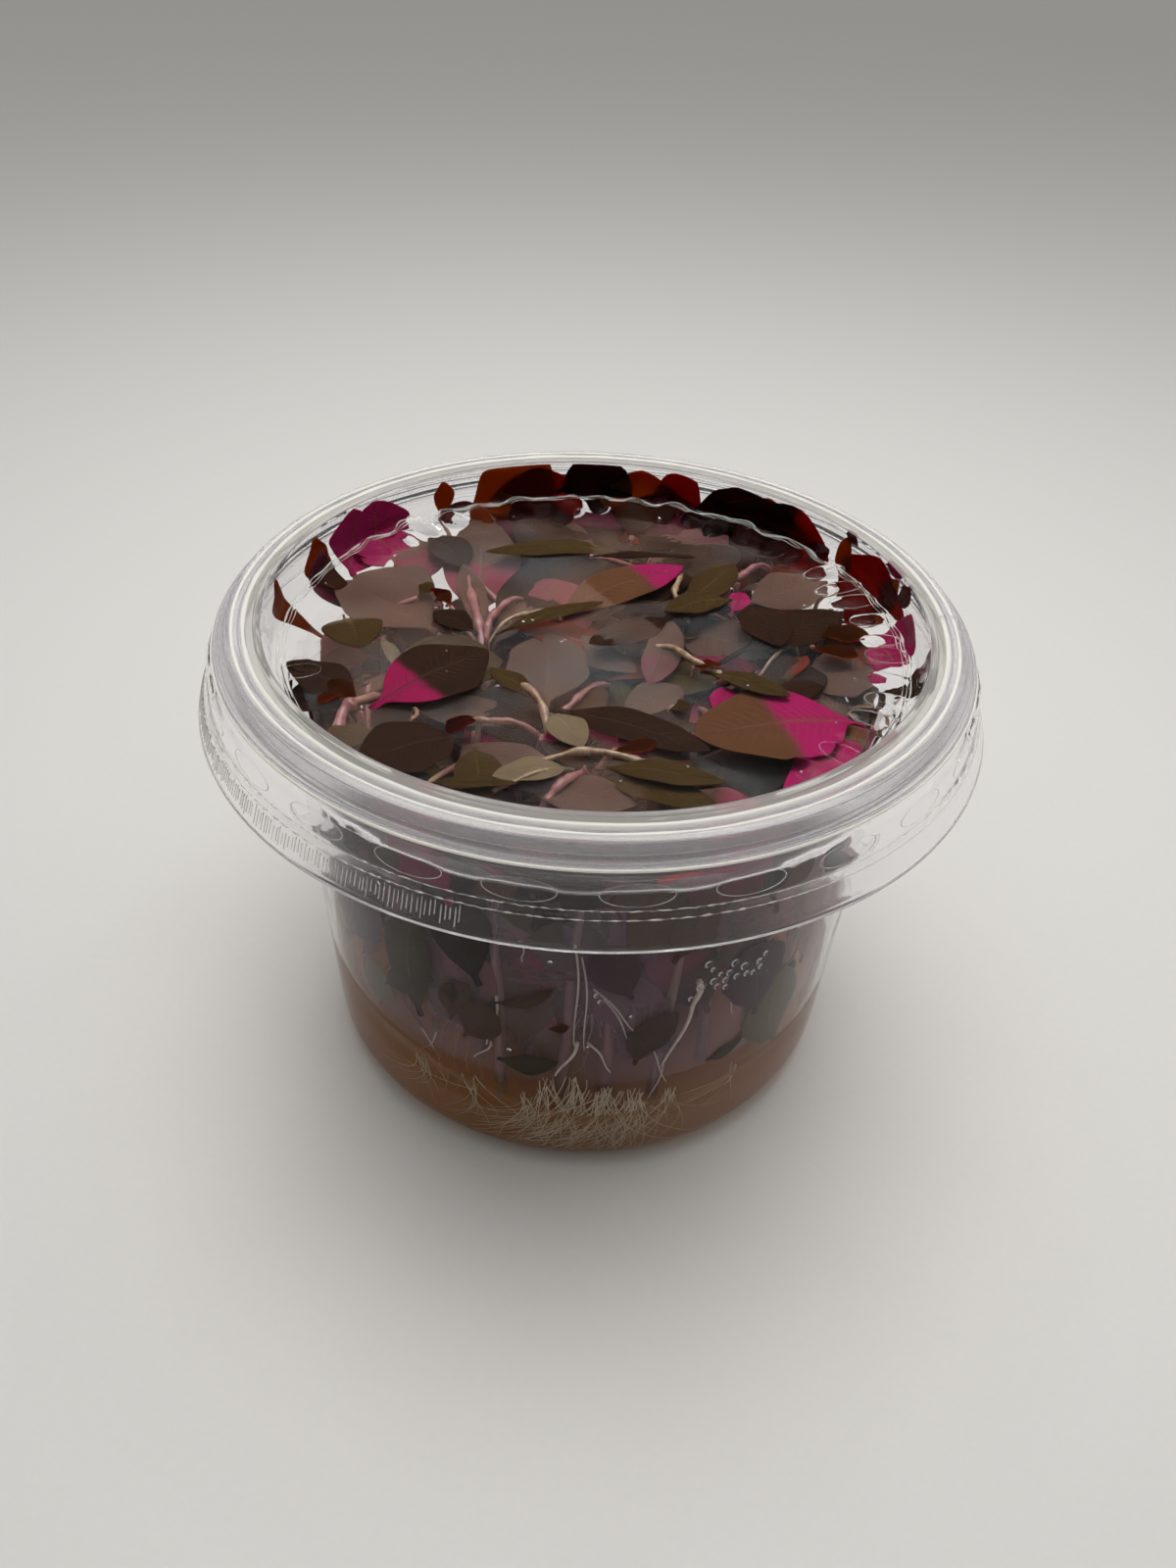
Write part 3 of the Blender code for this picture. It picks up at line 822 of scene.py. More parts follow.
def lidShift(radius, height, angle):
    # irregular raised lens shapes round the edge of the sunken panel, on its upper side, and a wavy corner
    panelTop = lid["underPanel"] + lid["sheet"]
    onTop = (height > panelTop - 0.2) & (height < panelTop + 0.4) & (radius < lid["panel"] + 0.4)
    spacing = circle / flutes["count"]
    index = np.floor(angle / spacing).astype(int) % flutes["count"]
    shiftBy, middle, longBy, wideBy, raised = (column[index] for column in fluteTable())
    off = angle - (index + 0.5) * spacing - shiftBy
    lens = 1 - (off * radius / wideBy) ** 2 - ((radius - middle) / longBy) ** 2
    upward = onTop * raised * fluteStrength(angle) * np.sqrt(np.clip(lens, 0, 1))
    slow = onTop * 0.10 * ripple(angle, flutes["seed"] + 1, 3, 14) * np.clip((radius - 20) / 20, 0, 1)
    near = np.exp(-((radius - wavyEdge["radius"]) / wavyEdge["reach"]) ** 2) * (height < panelTop + 1.2)
    return near * edgeSway(angle), upward + slow


def lidRegion(radius, height):
    # 0 panel, well and lip, 1 ring, 2 outer edge, 3 the lip's upper face
    ring = radius >= lid["wellTop"] + 1.7
    edge = (radius > lid["edgeFrom"][0]) & (height < lid["edgeFrom"][1])
    lip = (radius > lid["wellTop"] + 0.1) & (height > lid["top"] - 0.3)
    return ring.astype(int) + edge + 3 * (lip & ~ring)


def makeLid():
    sheet = lid["sheet"]
    top = lid["top"]
    under = lid["underPanel"]
    panelTop = under + sheet
    grooveR, grooveDeep = lid["groove"]
    bead = lid["beadRadius"]
    half = outline([
        (0, panelTop, 0),
        (34.0, panelTop, 0),
        (lid["panel"] - 0.9, panelTop, 0.2),
        (lid["panel"] - 0.6, panelTop + 0.18, 0.12),
        (lid["panel"] - 0.3, panelTop, 0.15),
        (lid["wellFoot"], panelTop + 0.1, 0.35),
        (lid["wellTop"], top, 0.4),
        (lid["wellTop"] + 0.8, top, 0.2),
        (lid["wellTop"] + 0.95, top - 0.12, 0.1),
        (grooveR - 0.5, top - 0.1, 0.2),
        (grooveR - 0.1, top - 0.1 - grooveDeep, 0.15),
        (grooveR + 0.3, top - 0.1, 0.2),
        (lid["edge"] - 0.5, top, 0.25),
        (lid["edge"], top - 0.5, 0.35),
        (bead - 0.9, lid["bead"] + 1.5, 0.3),
        (bead - 0.6, lid["bead"] + 0.9, 0.25),
        (bead, lid["bead"] + 0.6, 0.35),
        (bead, lid["bead"], 0.3),
        (bead - sheet, lid["bead"], 0.2),
        (lid["edge"] - sheet, top - sheet, 0.4),
        (lid["wellTop"] + sheet, top - sheet, 0.5),
        (lid["wellFoot"] + sheet, under, 0.5),
        (lid["panel"], under, 0.3),
        (0, under, 0),
    ], step=0.55)
    mesh = turned("snap_lid", half, lid["turns"], lidShift)
    markByPlace(mesh, lidRegion)
    looks = ["panelPlastic", "rimPlastic", "edgePlastic", "lipPlastic"]
    placePiece("snap_lid", mesh, looks, "clear", "lid")
    print("lid:", len(mesh.polygons), "faces")


# Fine pale lines round the dents and flutes, along the seam and the panel's corner, and short upright strokes
# on the skirt: painted highlights where light catches the moulding's ridges and edges, partly on real ridges;
# and painted highlight and shade lines round the lid's ring

# half thicknesses of the pale lines, which are painted highlights
lines = {
    "dent": 0.062,
    "flute": 0.075,
    "panel": (0.12, 0.07, 0.05),
    "panelGap": 0.50,
    "seam": (0.075, 0.060),
    "seamAt": ((51.72, 63.20), (51.22, 64.05)),
    "seamRough": 0.16,
    "seed": 71,
}
ringHighlightAndShadeLines = {
    # radius and height of each line round the lid's ring, half thickness, finish; the pale lines are painted
    # highlights on the ring's edges, the grey ones painted shade beside them and in the groove
    "lip": (43.85, 71.26, 0.07, "grey"),
    "white": (45.90, 71.00, 0.42, "pale"),
    "besideWhite": (46.50, 71.10, 0.09, "grey"),
    "secondWhite": (47.30, 71.10, 0.26, "pale"),
    "shoulder": (48.30, 70.86, 0.06, "grey"),
    "outer": (49.10, 69.94, 0.05, "grey"),
    "bead": (49.80, 69.20, 0.05, "grey"),
    "foot": (50.00, 68.62, 0.22, "pale"),
}
strokes = {"count": 112, "fromFront": (-82.0, -14.0), "heights": (60.5, 63.1), "half": (0.05, 0.08),
           "seed": 72}


def skirtRadius(height):
    # how far the skirt's outer face is from the axis
    return np.interp(height, [59.5, 63.3, 64.2, 67.6], [53.0, 51.7, 51.15, 50.8])


def dentLines(rng):
    # each line is its path, its half thickness and a direction off the path
    once = np.linspace(0, circle, 33)
    for number in range(snapDents["count"]):
        turn = math.radians(snapDents["first"] - 90 + number * 360 / snapDents["count"])
        z = snapDents["height"] + snapDents["tall"] * np.sin(once)
        reach = skirtRadius(z) + 0.06
        along = turn + snapDents["long"] * np.cos(once) / reach
        ends = np.clip(np.abs(np.cos(once)) - 0.25 * np.sin(once), 0.22, 1)
        thick = lines["dent"] * mm * ends * rng.uniform(0.8, 1.2)
        yield around(reach, z, along), thick, [math.cos(turn), math.sin(turn), 0.0]


def fluteLines(rng, panelTop):
    once = np.linspace(0, circle, 33)
    shiftBy, middle, longBy, wideBy, raised = fluteTable()
    for number in range(flutes["count"]):
        turn = math.radians((number + 0.5) * 360 / flutes["count"]) + shiftBy[number]
        # the outline is drawn only on the right front and a little at the back left, where glints show:
        # painted glints
        shown = float(between(turn, -46, 32, 0.1)) + 0.5 * float(between(turn, 190, 204, 0.1))
        if shown < 0.1 or rng.uniform() < 0.2:
            continue
        reach = middle[number] + 0.95 * longBy[number] * np.cos(once)
        sway = 0.90 * wideBy[number] * np.sin(once)
        x = reach * math.cos(turn) - sway * math.sin(turn)
        y = reach * math.sin(turn) + sway * math.cos(turn)
        z = np.full_like(x, panelTop + 0.02 + 0.12 * raised[number])
        arc = 0.35 + 0.65 * np.clip(np.sin(once + rng.uniform(-0.8, 0.8)), 0, 1)
        yield np.stack([x, y, z], 1) * mm, lines["flute"] * mm * rng.uniform(0.7, 1.5) * arc * shown, up


def panelLines(panelTop):
    # the pale wavy lines at the panel's corner are painted highlights
    angle = np.linspace(0, circle, 601)
    seed = wavyEdge["seed"]
    for k, thick in enumerate(lines["panel"]):
        reach = wavyEdge["radius"] - k * lines["panelGap"] + edgeSway(angle) * (1 - 0.2 * k)
        z = panelTop + 0.10 + wavyEdge["lift"] * ripple(angle, seed + 1 + k, 20, 60, 9)
        uneven = np.clip(1 + 0.5 * ripple(angle, seed + 5 + k, 20, 90, 9), 0.3, 2)
        yield around(reach, z, angle), thick * mm * uneven, up


def seamLines():
    angle = np.linspace(0, circle, 1201)
    front = (np.degrees(angle) + 90 + 180) % 360 - 180
    rough = spreadOver(front, -80, -40) * (1 - spreadOver(front, 15, 30))
    for k, (thick, (reach, z)) in enumerate(zip(lines["seam"], lines["seamAt"])):
        jitter = ripple(angle, 90 + k, 60, 330, 30) * (0.12 + rough)
        uneven = np.clip(1 + 0.9 * ripple(angle, 95 + k, 60, 330, 30) * rough, 0.25, 2.4)
        height = z + lines["seamRough"] * jitter * 0.5
        yield around(reach + 0.04 * jitter, height, angle), thick * mm * uneven, up


def strokeLines():
    low, high = strokes["heights"]
    rng = np.random.default_rng(strokes["seed"])
    for place in np.linspace(*strokes["fromFront"], strokes["count"]):
        turn = math.radians(place + rng.normal(0, 0.08) - 90)
        z = np.linspace(low + rng.uniform(0, 0.9), high - rng.uniform(0, 0.7), 5)
        thick = np.full(5, rng.uniform(*strokes["half"]) * mm)
        yield around(skirtRadius(z) + 0.10, z, turn), thick, [math.cos(turn), math.sin(turn), 0.0]


def makeHighlightAndShadeLines():
    rng = np.random.default_rng(lines["seed"])
    panelTop = lid["underPanel"] + lid["sheet"]
    drawn = [*dentLines(rng), *fluteLines(rng, panelTop), *panelLines(panelTop), *seamLines(), *strokeLines()]
    paths, thicks, helpers = zip(*drawn)
    tubePiece("moulded_lines", paths, thicks, 4, "edgePlastic", "clear", helpers=helpers)
    angle = np.linspace(0, circle, 241)
    # pale tubes are painted highlights and grey tubes painted shade lines round the lid's ring
    for finish, look in (("pale", "linePlastic"), ("grey", "grooveGrey")):
        chosen = [row for row in ringHighlightAndShadeLines.values() if row[3] == finish]
        paths = [around(reach, z, angle) for reach, z, _, _ in chosen]
        thicks = [row[2] * mm * (1 + 0.12 * ripple(angle, 60 + k, 2, 30)) for k, row in enumerate(chosen)]
        tubePiece(f"{finish}_ring_painted_lines", paths, thicks, 6, look, "clear", helpers=[up] * len(paths))
    print("moulded highlight lines:", len(drawn))


# Condensation: a thin film under the lid's panel and one inside the wall

film = {"underLid": 1.60, "lidRadius": 39.6, "wave": 0.22, "waves": 12, "thick": 0.03, "rings": 36,
        "turns": 120, "seed": 21}
filmDips = (
    # place across the lid, reach and depth
    (29.0, -12.5, 9.0, 3.4),
    (18.0, -17.5, 8.0, 3.0),
    (23.5, -27.5, 5.0, 2.6),
    (8.5, 21.0, 6.5, 2.2),
    (-25.0, -12.0, 6.0, 1.6),
    (36.0, 13.0, 6.0, 2.4),
)
wallFilm = {"gap": 1.15, "thick": 0.03, "low": 18.0, "high": 59.0, "turns": 96, "rings": 14}


def bodyInside(height):
    # radius of the cup's inner wall at a height
    foot = cup["footFlat"] + cup["footCorner"]
    share = (height - cup["footCorner"]) / (cup["bodyTop"][1] - cup["footCorner"])
    side = foot + (cup["bodyTop"][0] - foot) * share - cup["wall"]
    bend = cup["footCorner"] - cup["wall"]
    below = np.clip((cup["footCorner"] - height) / bend, 0, 1)
    return np.where(share < 0, cup["footFlat"] + bend * np.sqrt(1 - below ** 2), side)


def filmShift(radius, height, angle):
    # slow waves in many directions, and the dips
    x = radius * np.cos(angle)
    y = radius * np.sin(angle)
    rng = np.random.default_rng(film["seed"])
    total = np.zeros_like(radius)
    for _ in range(film["waves"]):
        reach = rng.uniform(9.0, 26.0)
        turn = rng.uniform(0, circle)
        start = rng.uniform(0, circle)
        total = total + np.sin((x * math.cos(turn) + y * math.sin(turn)) * circle / reach + start)
    upward = film["wave"] * total / math.sqrt(film["waves"])
    for dipX, dipY, reach, deep in filmDips:
        upward = upward - deep * np.exp(-(((x - dipX) ** 2 + (y - dipY) ** 2) / reach ** 2) ** 1.5)
    return 0.0, upward


def makeFilms():
    height = lid["underPanel"] - film["underLid"]
    radii = np.linspace(0, film["lidRadius"], film["rings"])
    upper = np.stack([radii, np.full_like(radii, height)], 1)
    half = np.vstack([upper, upper[::-1] - [0, film["thick"]]])
    mesh = turned("lid_condensation", half, film["turns"], filmShift)
    placePiece("lid_condensation", mesh, ["lidFog"], "clear")
    heights = np.linspace(wallFilm["low"], wallFilm["high"], wallFilm["rings"])
    outer = np.stack([bodyInside(heights) - wallFilm["gap"], heights], 1)
    loop = np.vstack([outer, outer[::-1] - [wallFilm["thick"], 0]])
    mesh = hoop("wall_condensation", loop, wallFilm["turns"])
    placePiece("wall_condensation", mesh, ["wallFog"], "clear")
    print("condensation made")


# Leaves

leafShape = {
    "along": 24,
    "across": 6,
    "thick": 0.26,
    "marginThick": 0.05,
    "stalkThick": 0.8,
    "rib": 0.10,
    "pillow": 0.06,
    "wave": 0.30,
    "pressedWave": 0.05,
    "edgeWaves": ((0.05, 9), (0.03, 17)),
    "waveRates": (7, 1.4),
    "pillowRate": 56,
    "pillowSlant": 0.17,
    "ribWide": 0.10,
    "blushTurn": 22,
    # share of the width that still counts as stalk, and how long a stalk is then
    "narrow": 0.25,
    "stalks": (0.12, 0.35, 0.5),
}
# blush at the stalk, blush at the tip, and where along the leaf it turns
leafBlush = {
    "left_front_leaf_1": (1.0, 0.0, 0.40),
    "right_leaf_1": (1.0, 0.1, 0.50),
    "right_leaf_2": (0.9, 0.9, 0.5),
    "right_leaf_5": (0.9, 0.9, 0.5),
    "back_centre_leaf_1": (0.15, 1.0, 0.72),
    "left_back_standing_leaf_141": (1.0, 1.0, 0.5),
    "right_back_standing_leaf_24": (0.1, 0.1, 0.5),
    "back_standing_leaf_104": (0.3, 0.1, 0.6),
    "back_standing_leaf_82": (0.2, 0.5, 0.7),
    "right_back_standing_leaf_54": (0.1, 0.4, 0.6),
}
otherBlush = (0.25, 0.1, 0.5)
leafFinish = {"back_standing_leaf_82": "orange"}
plants = sorted(n[: -len("_stem_and_roots")] for n in frame["nodes"] if n.endswith("_stem_and_roots"))
slotOf = {part["node"]: part["material_slot"] for part in frame["record"]["subparts"]}


def plainMesh(node):
    # the node's corners, each once, and its faces over them
    data = frame["nodes"][node].data
    places = np.array([v.co for v in data.vertices])
    corners, index = np.unique(np.round(places, 7), axis=0, return_inverse=True)
    index = index.reshape(-1)
    faces = [[int(index[v]) for v in polygon.vertices] for polygon in data.polygons]
    return corners, faces


def stemLine(plant):
    # the rings of the CAD tube of roots and stem, from below up: middle and radius
    corners, _ = plainMesh(f"{plant}_stem_and_roots")
    rings = corners[np.argsort(corners[:, 2])].reshape(-1, 8, 3)
    middles = rings.mean(1)
    return middles, np.linalg.norm(rings - middles[:, None], axis=2).mean(1)


stemLines = {plant: stemLine(plant) for plant in plants}


def alongStem(plant, level, axes=3):
    # where the stem is at a height in metres
    middles = stemLines[plant][0]
    return np.array([np.interp(level, middles[:, 2], middles[:, k]) for k in range(axes)])


def leafRows(node):
    # the CAD leaf's rows from stalk to tip: middles, sides and half widths, found by walking from the stalk
    corners, faces = plainMesh(node)
    plant = max((p for p in plants if node.startswith(p + "_")), key=len)
    line = stemLines[plant][0]
    fine = np.vstack([a + (b - a) * np.linspace(0, 1, 30)[:, None] for a, b in zip(line, line[1:])])
    toStem = np.linalg.norm(corners[:, None] - fine[None], axis=2).min(1)
    beside = {i: set() for i in range(len(corners))}
    for face in faces:
        for corner in face:
            beside[corner].update(face)
    row = set(np.argsort(toStem)[:6].tolist())
    seen = set()
    rows = []
    while row:
        seen |= row
        rows.append(sorted(row))
        row = set().union(*(beside[i] for i in row)) - seen
    middles = np.array([corners[r].mean(0) for r in rows])
    sides = np.array([np.linalg.svd(corners[r] - m)[2][0] for r, m in zip(rows, middles)])
    sides[0] = sides[1] = sides[2]
    sides[-1] = sides[-2]
    widest = sides[len(rows) // 2].copy()
    sides[sides @ widest < 0] *= -1
    halves = np.array([np.abs((corners[r] - m) @ side).max() for r, m, side in zip(rows, middles, sides)])
    return middles, sides, halves


# where the rows of a CAD leaf lie along it
cadLeafRows = (0.0, 0.12, 0.28, 0.48, 0.68, 0.86, 1.0)


def bladeWidth(u, stalk):
    along = np.clip((u - stalk) / (1 - stalk), 0, 1)
    blade = np.sin(math.pi * along ** 0.92) ** 0.72
    return np.maximum(blade, np.where(u < 0.6, 0.10, 0.0))


def bladeMesh(middles, sides, half, stalk, upward, wave, seed, blush, shape=leafShape):
    # points, faces, face materials, leafMap and blush of one leaf: a closed sheet, thin at its margin
    rng = np.random.default_rng(seed)
    known = np.linspace(0, 1, len(middles))
    if len(middles) == len(cadLeafRows):
        known = np.array(cadLeafRows)
    u = np.linspace(0, 1, shape["along"]) ** 0.95
    v = np.sin(np.linspace(-1, 1, 2 * shape["across"] + 1) * math.pi / 2)
    centre = smoothAlong(known, middles, u)
    side = unit(smoothAlong(known, sides, u))
    ahead = unit(np.gradient(centre, axis=0))
    side = unit(side - ahead * np.sum(side * ahead, 1, keepdims=True))
    normal = np.cross(ahead, side)
    if normal[len(normal) // 2] @ upward < 0:
        side = -side
        normal = -normal
    width = half * bladeWidth(u, stalk)
    phases = rng.uniform(0, circle, 3)
    (deepA, rateA), (deepB, rateB) = shape["edgeWaves"]
    edge = 1 + deepA * np.sin(rateA * u + phases[0]) + deepB * np.sin(rateB * u + phases[1])
    across = v[None, :] * (width * edge)[:, None]
    grid = centre[:, None] + side[:, None] * across[..., None]
    share = np.clip(width / max(half, 1e-9), 0, 1)[:, None]
    rateU, rateV = shape["waveRates"]
    waving = wave * np.sin(rateU * u[:, None] + phases[2] + rateV * v[None, :]) * v[None, :] ** 2
    slanted = (u[:, None] - shape["pillowSlant"] * np.abs(v[None, :])) * shape["pillowRate"]
    pillows = shape["pillow"] * np.sin(slanted) * (1 - v[None, :] ** 2)
    groove = -shape["rib"] * np.exp(-(v[None, :] / shape["ribWide"]) ** 2)
    lift = (waving + pillows + groove) * share * mm
    grid = grid + normal[:, None] * lift[..., None]
    thickU = np.where(u < stalk, shape["stalkThick"], shape["thick"])
    thickU = np.convolve(np.pad(thickU, 2, mode="edge"), np.ones(5) / 5, mode="valid")
    rounded = np.sqrt(np.clip(1 - v ** 2, 0, 1))
    thick = (shape["marginThick"] + (thickU[:, None] - shape["marginThick"]) * rounded[None, :]) * mm
    thick = np.minimum(thick, 2 * np.maximum(width[:, None], 0.00003))
    top = grid + normal[:, None] * thick[..., None] / 2
    bottom = grid - normal[:, None] * thick[..., None] / 2
    rows, columns = top.shape[:2]
    points = np.vstack([top.reshape(-1, 3), bottom.reshape(-1, 3)])
    under = rows * columns
    faces = []
    for i in range(rows - 1):
        for a in range(i * columns, (i + 1) * columns - 1):
            b = a + columns
            faces.append([a, b, b + 1, a + 1])
            faces.append([under + a, under + a + 1, under + b + 1, under + b])
    marks = [0, 1] * (len(faces) // 2)
    index = np.arange(under).reshape(rows, columns)
    border = np.concatenate([index[0], index[1:, -1], index[-1, -2::-1], index[-2:0:-1, 0]]).tolist()
    faces += [[a, b, under + b, under + a] for a, b in zip(border, border[1:] + border[:1])]
    marks += [1] * len(border)
    uv = np.stack([np.repeat(u[:, None], columns, 1), np.repeat((0.5 + 0.5 * v)[None], rows, 0)], -1)
    uv = np.vstack([uv.reshape(-1, 2)] * 2)
    atStalk, atTip, turn = blush
    painted = atStalk + (atTip - atStalk) / (1 + np.exp(-(uv[:, 0] - turn) * shape["blushTurn"]))
    return points, faces, marks, uv, painted


def leafPiece(name, grown, slot, node=None):
    # one mesh of one or more leaves, each given with its finish
    used = sorted({kind for _, kind in grown})
    mesh = meshFrom(name, *joined([leaf[:2] for leaf, _ in grown]))
    maps = np.vstack([leaf[3] for leaf, _ in grown])
    corners = np.zeros(len(mesh.loops), int)
    mesh.loops.foreach_get("vertex_index", corners)
    mesh.uv_layers.new(name="leafMap").data.foreach_set("uv", maps[corners].reshape(-1))
    blush = mesh.attributes.new("blush", "FLOAT", "POINT")
    blush.data.foreach_set("value", np.concatenate([leaf[4] for leaf, _ in grown]))
    marks = [2 * used.index(kind) + sheet for leaf, kind in grown for sheet in leaf[2]]
    mesh.polygons.foreach_set("material_index", marks)
    placePiece(name, mesh, [kind + side for kind in used for side in ("Upper", "Under")], slot, node)


def makeMainLeaves():
    names = sorted(n for n in frame["nodes"] if "_leaf_" in n)
    for seed, node in enumerate(names):
        middles, sides, halves = leafRows(node)
        narrow = halves < leafShape["narrow"] * halves.max()
        stalk = leafShape["stalks"][2 if narrow[3] else int(narrow[2])]
        standing = "standing" in node
        upward = middles[-1] * [-1, -1, 0] if standing else up
        wave = leafShape["wave"] if standing else leafShape["pressedWave"]
        blush = leafBlush.get(node, otherBlush)
        leaf = bladeMesh(middles, sides, halves.max(), stalk, upward, wave, seed, blush)
        kind = slotOf[node]
        leafPiece(f"{node}_blade", [(leaf, leafFinish.get(node, kind))], kind, node)
    print("main leaves:", len(names))


# Stems, with swollen joints

stem = {"sides": 12, "parts": 70, "jointEvery": 6.2, "jointSwell": 0.35, "wobble": 0.25, "fromZ": 13.0,
        "widest": 0.9, "taper": 6.0, "seed": 300}


def makeStems():
    for seed, plant in enumerate(plants):
        middles, radii = stemLines[plant]
        rng = np.random.default_rng(stem["seed"] + seed)
        at = np.linspace(0, 1, stem["parts"])
        heights = middles[:, 2]
        known = (heights - heights[0]) / (heights[-1] - heights[0])
        path = smoothAlong(known, middles, at)
        thick = np.interp(at, known, radii)
        keep = path[:, 2] > stem["fromZ"] * mm
        path = path[keep]
        thick = thick[keep]
        z = path[:, 2] / mm
        joint = np.exp(-(((z + 3.1) % stem["jointEvery"] - 3.1) / 0.8) ** 2)
        thick = np.minimum(thick, stem["widest"] * mm) * (1 + stem["jointSwell"] * joint)
        thick = thick * np.clip((z[-1] + 0.3 - z) / stem["taper"], 0.12, 1) ** 0.7
        phase = rng.uniform(0, 6.3, 2)
        fade = np.clip((z - z[0]) / 8, 0, 1) * np.clip((z[-1] - z) / 8, 0, 1)
        path[:, 0] += stem["wobble"] * mm * np.sin(z * 0.42 + phase[0]) * fade
        path[:, 1] += stem["wobble"] * mm * np.sin(z * 0.37 + phase[1]) * fade
        node = f"{plant}_stem_and_roots"
        tubePiece(f"{plant}_stem", [path], [thick], stem["sides"], "stemPink", "stem", node)
    print("stems:", len(plants))


def keepInside(path, gap):
    # slides points that would pass the cup's wall back along it
    z = np.clip(path[:, 2] / mm, 1.6, 60.0)
    most = (bodyInside(z) - gap) * mm
    reach = np.linalg.norm(path[:, :2], axis=1)
    scale = np.minimum(1.0, most / np.maximum(reach, 1e-9))
    held = path.copy()
    held[:, :2] *= scale[:, None]
    return held


# Side shoots: many thin stems with leaves in opposite pairs, which fill the cup

shoots = {
    "count": 84,
    "widest": 38.0,
    "apart": 5.0,
    "fromZ": 12.0,
    "tops": (50.0, 61.5),
    "lean": 5.0,
    "firstPair": 22.0,
    "pairEvery": (5.0, 7.5),
    "crown": 7.0,
    "thick": (0.85, 0.45),
    "lowLeaf": (9.0, 14.0),
    "highLeaf": (13.0, 21.0),
    "crownLeaf": (5.0, 11.0),
    "slender": (0.40, 0.58),
    "ceiling": (60.8, 63.0),
    "wallGap": (2.7, 4.4),
    "along": 10,
    "across": 3,
    "alongLow": 7,
    "acrossLow": 2,
    "seed": 77,
    "lowKinds": ("rose", "purple", "brown", "olive", "magenta", "brown"),
    "highKinds": ("brown", "brown", "olive", "rose", "olive", "rose", "red", "brown", "magenta"),
    "crownKinds": ("olive", "orange", "rose", "olive", "pale"),
}
# ways left open through the leaves, so that light shows: from, to (mm) and how wide
clearings = (
    ((-19.8, 11.9, 65.0), (-22.7, 33.5, 52.6), 1.3),
    ((-16.5, 12.3, 65.0), (-19.1, 35.7, 51.6), 1.2),
    ((-15.1, 6.9, 65.0), (-18.2, 36.2, 47.6), 0.9),
    ((25.7, 25.7, 65.0), (26.5, 30.6, 62.4), 1.4),
)


def blocksClearing(points):
    for start, end, wide in clearings:
        a = np.array(start)
        b = np.array(end)
        share = np.clip((points / mm - a) @ (b - a) / ((b - a) @ (b - a)), 0, 1)
        nearest = a + share[:, None] * (b - a)
        if np.linalg.norm(points / mm - nearest, axis=1).min() < wide:
            return True
    return False


def shootPlaces(rng):
    # scattered evenly over the gel, each with the plant it belongs to
    taken = {plant: stemLines[plant][0][:, :2].mean(0) / mm for plant in plants}
    places = list(taken.values())
    fixed = len(places)
    for _ in range(20000):
        if len(places) == fixed + shoots["count"]:
            break
        reach = shoots["widest"] * math.sqrt(rng.uniform(0, 1))
        turn = rng.uniform(0, circle)
        spot = np.array([reach * math.cos(turn), reach * math.sin(turn)])
        if min(np.linalg.norm(spot - other) for other in places) > shoots["apart"]:
            places.append(spot)
    owners = [min(taken, key=lambda p: np.linalg.norm(taken[p] - spot)) for spot in places]
    return places, owners


def shootPath(rng, spot, top):
    lean = rng.uniform(0, circle)
    away = spot / max(np.linalg.norm(spot), 1.0)
    drift = np.array([math.cos(lean), math.sin(lean)]) * rng.uniform(0, shoots["lean"]) + away * 1.5
    u = np.linspace(0, 1, 26)
    phase = rng.uniform(0, 6.3, 2)
    x = spot[0] + drift[0] * u ** 1.6 + 0.5 * np.sin(u * 9 + phase[0]) * u
    y = spot[1] + drift[1] * u ** 1.6 + 0.5 * np.sin(u * 8 + phase[1]) * u
    z = shoots["fromZ"] + (top - shoots["fromZ"]) * u
    return keepInside(np.stack([x, y, z], 1) * mm, 2.2)


def shootLeaf(rng, base, turn, length, rise, droop, kindList, shape):
    # one leaf that arches out from its shoot, held under the lid and inside the wall
    out = np.array([math.cos(turn), math.sin(turn), 0.0])
    u = np.linspace(0, 1, 9)[:, None]
    bend = rng.uniform(-0.25, 0.25)
    sideways = np.array([-out[1], out[0], 0.0])
    path = base + (out * length * u + sideways * bend * length * u * u + up * (rise * u - droop * u * u)) * mm
    gap = rng.uniform(*shoots["wallGap"])
    path = keepInside(path, gap)
    top = rng.uniform(*shoots["ceiling"]) * mm
    path[:, 2] = top - np.log1p(np.exp(np.clip((top - path[:, 2]) / (0.8 * mm), -30, 30))) * 0.8 * mm
    across = sideways + up * rng.uniform(-0.6, 0.6)
    half = length * rng.uniform(*shoots["slender"]) / 2 * mm
    seed = int(rng.integers(1, 10 ** 6))
    blush = (rng.uniform(0, 0.7), rng.uniform(0, 0.7), rng.uniform(0.3, 0.7))
    sides = np.repeat(unit(across[None]), len(path), 0)
    leaf = bladeMesh(path, sides, half, 0.12, up, 0.35, seed, blush, shape)
    leaf[0][:] = keepInside(leaf[0], 2.5)
    leaf[0][:, 2] = np.minimum(leaf[0][:, 2], 63.1 * mm)
    return leaf, kindList[int(rng.integers(len(kindList)))]


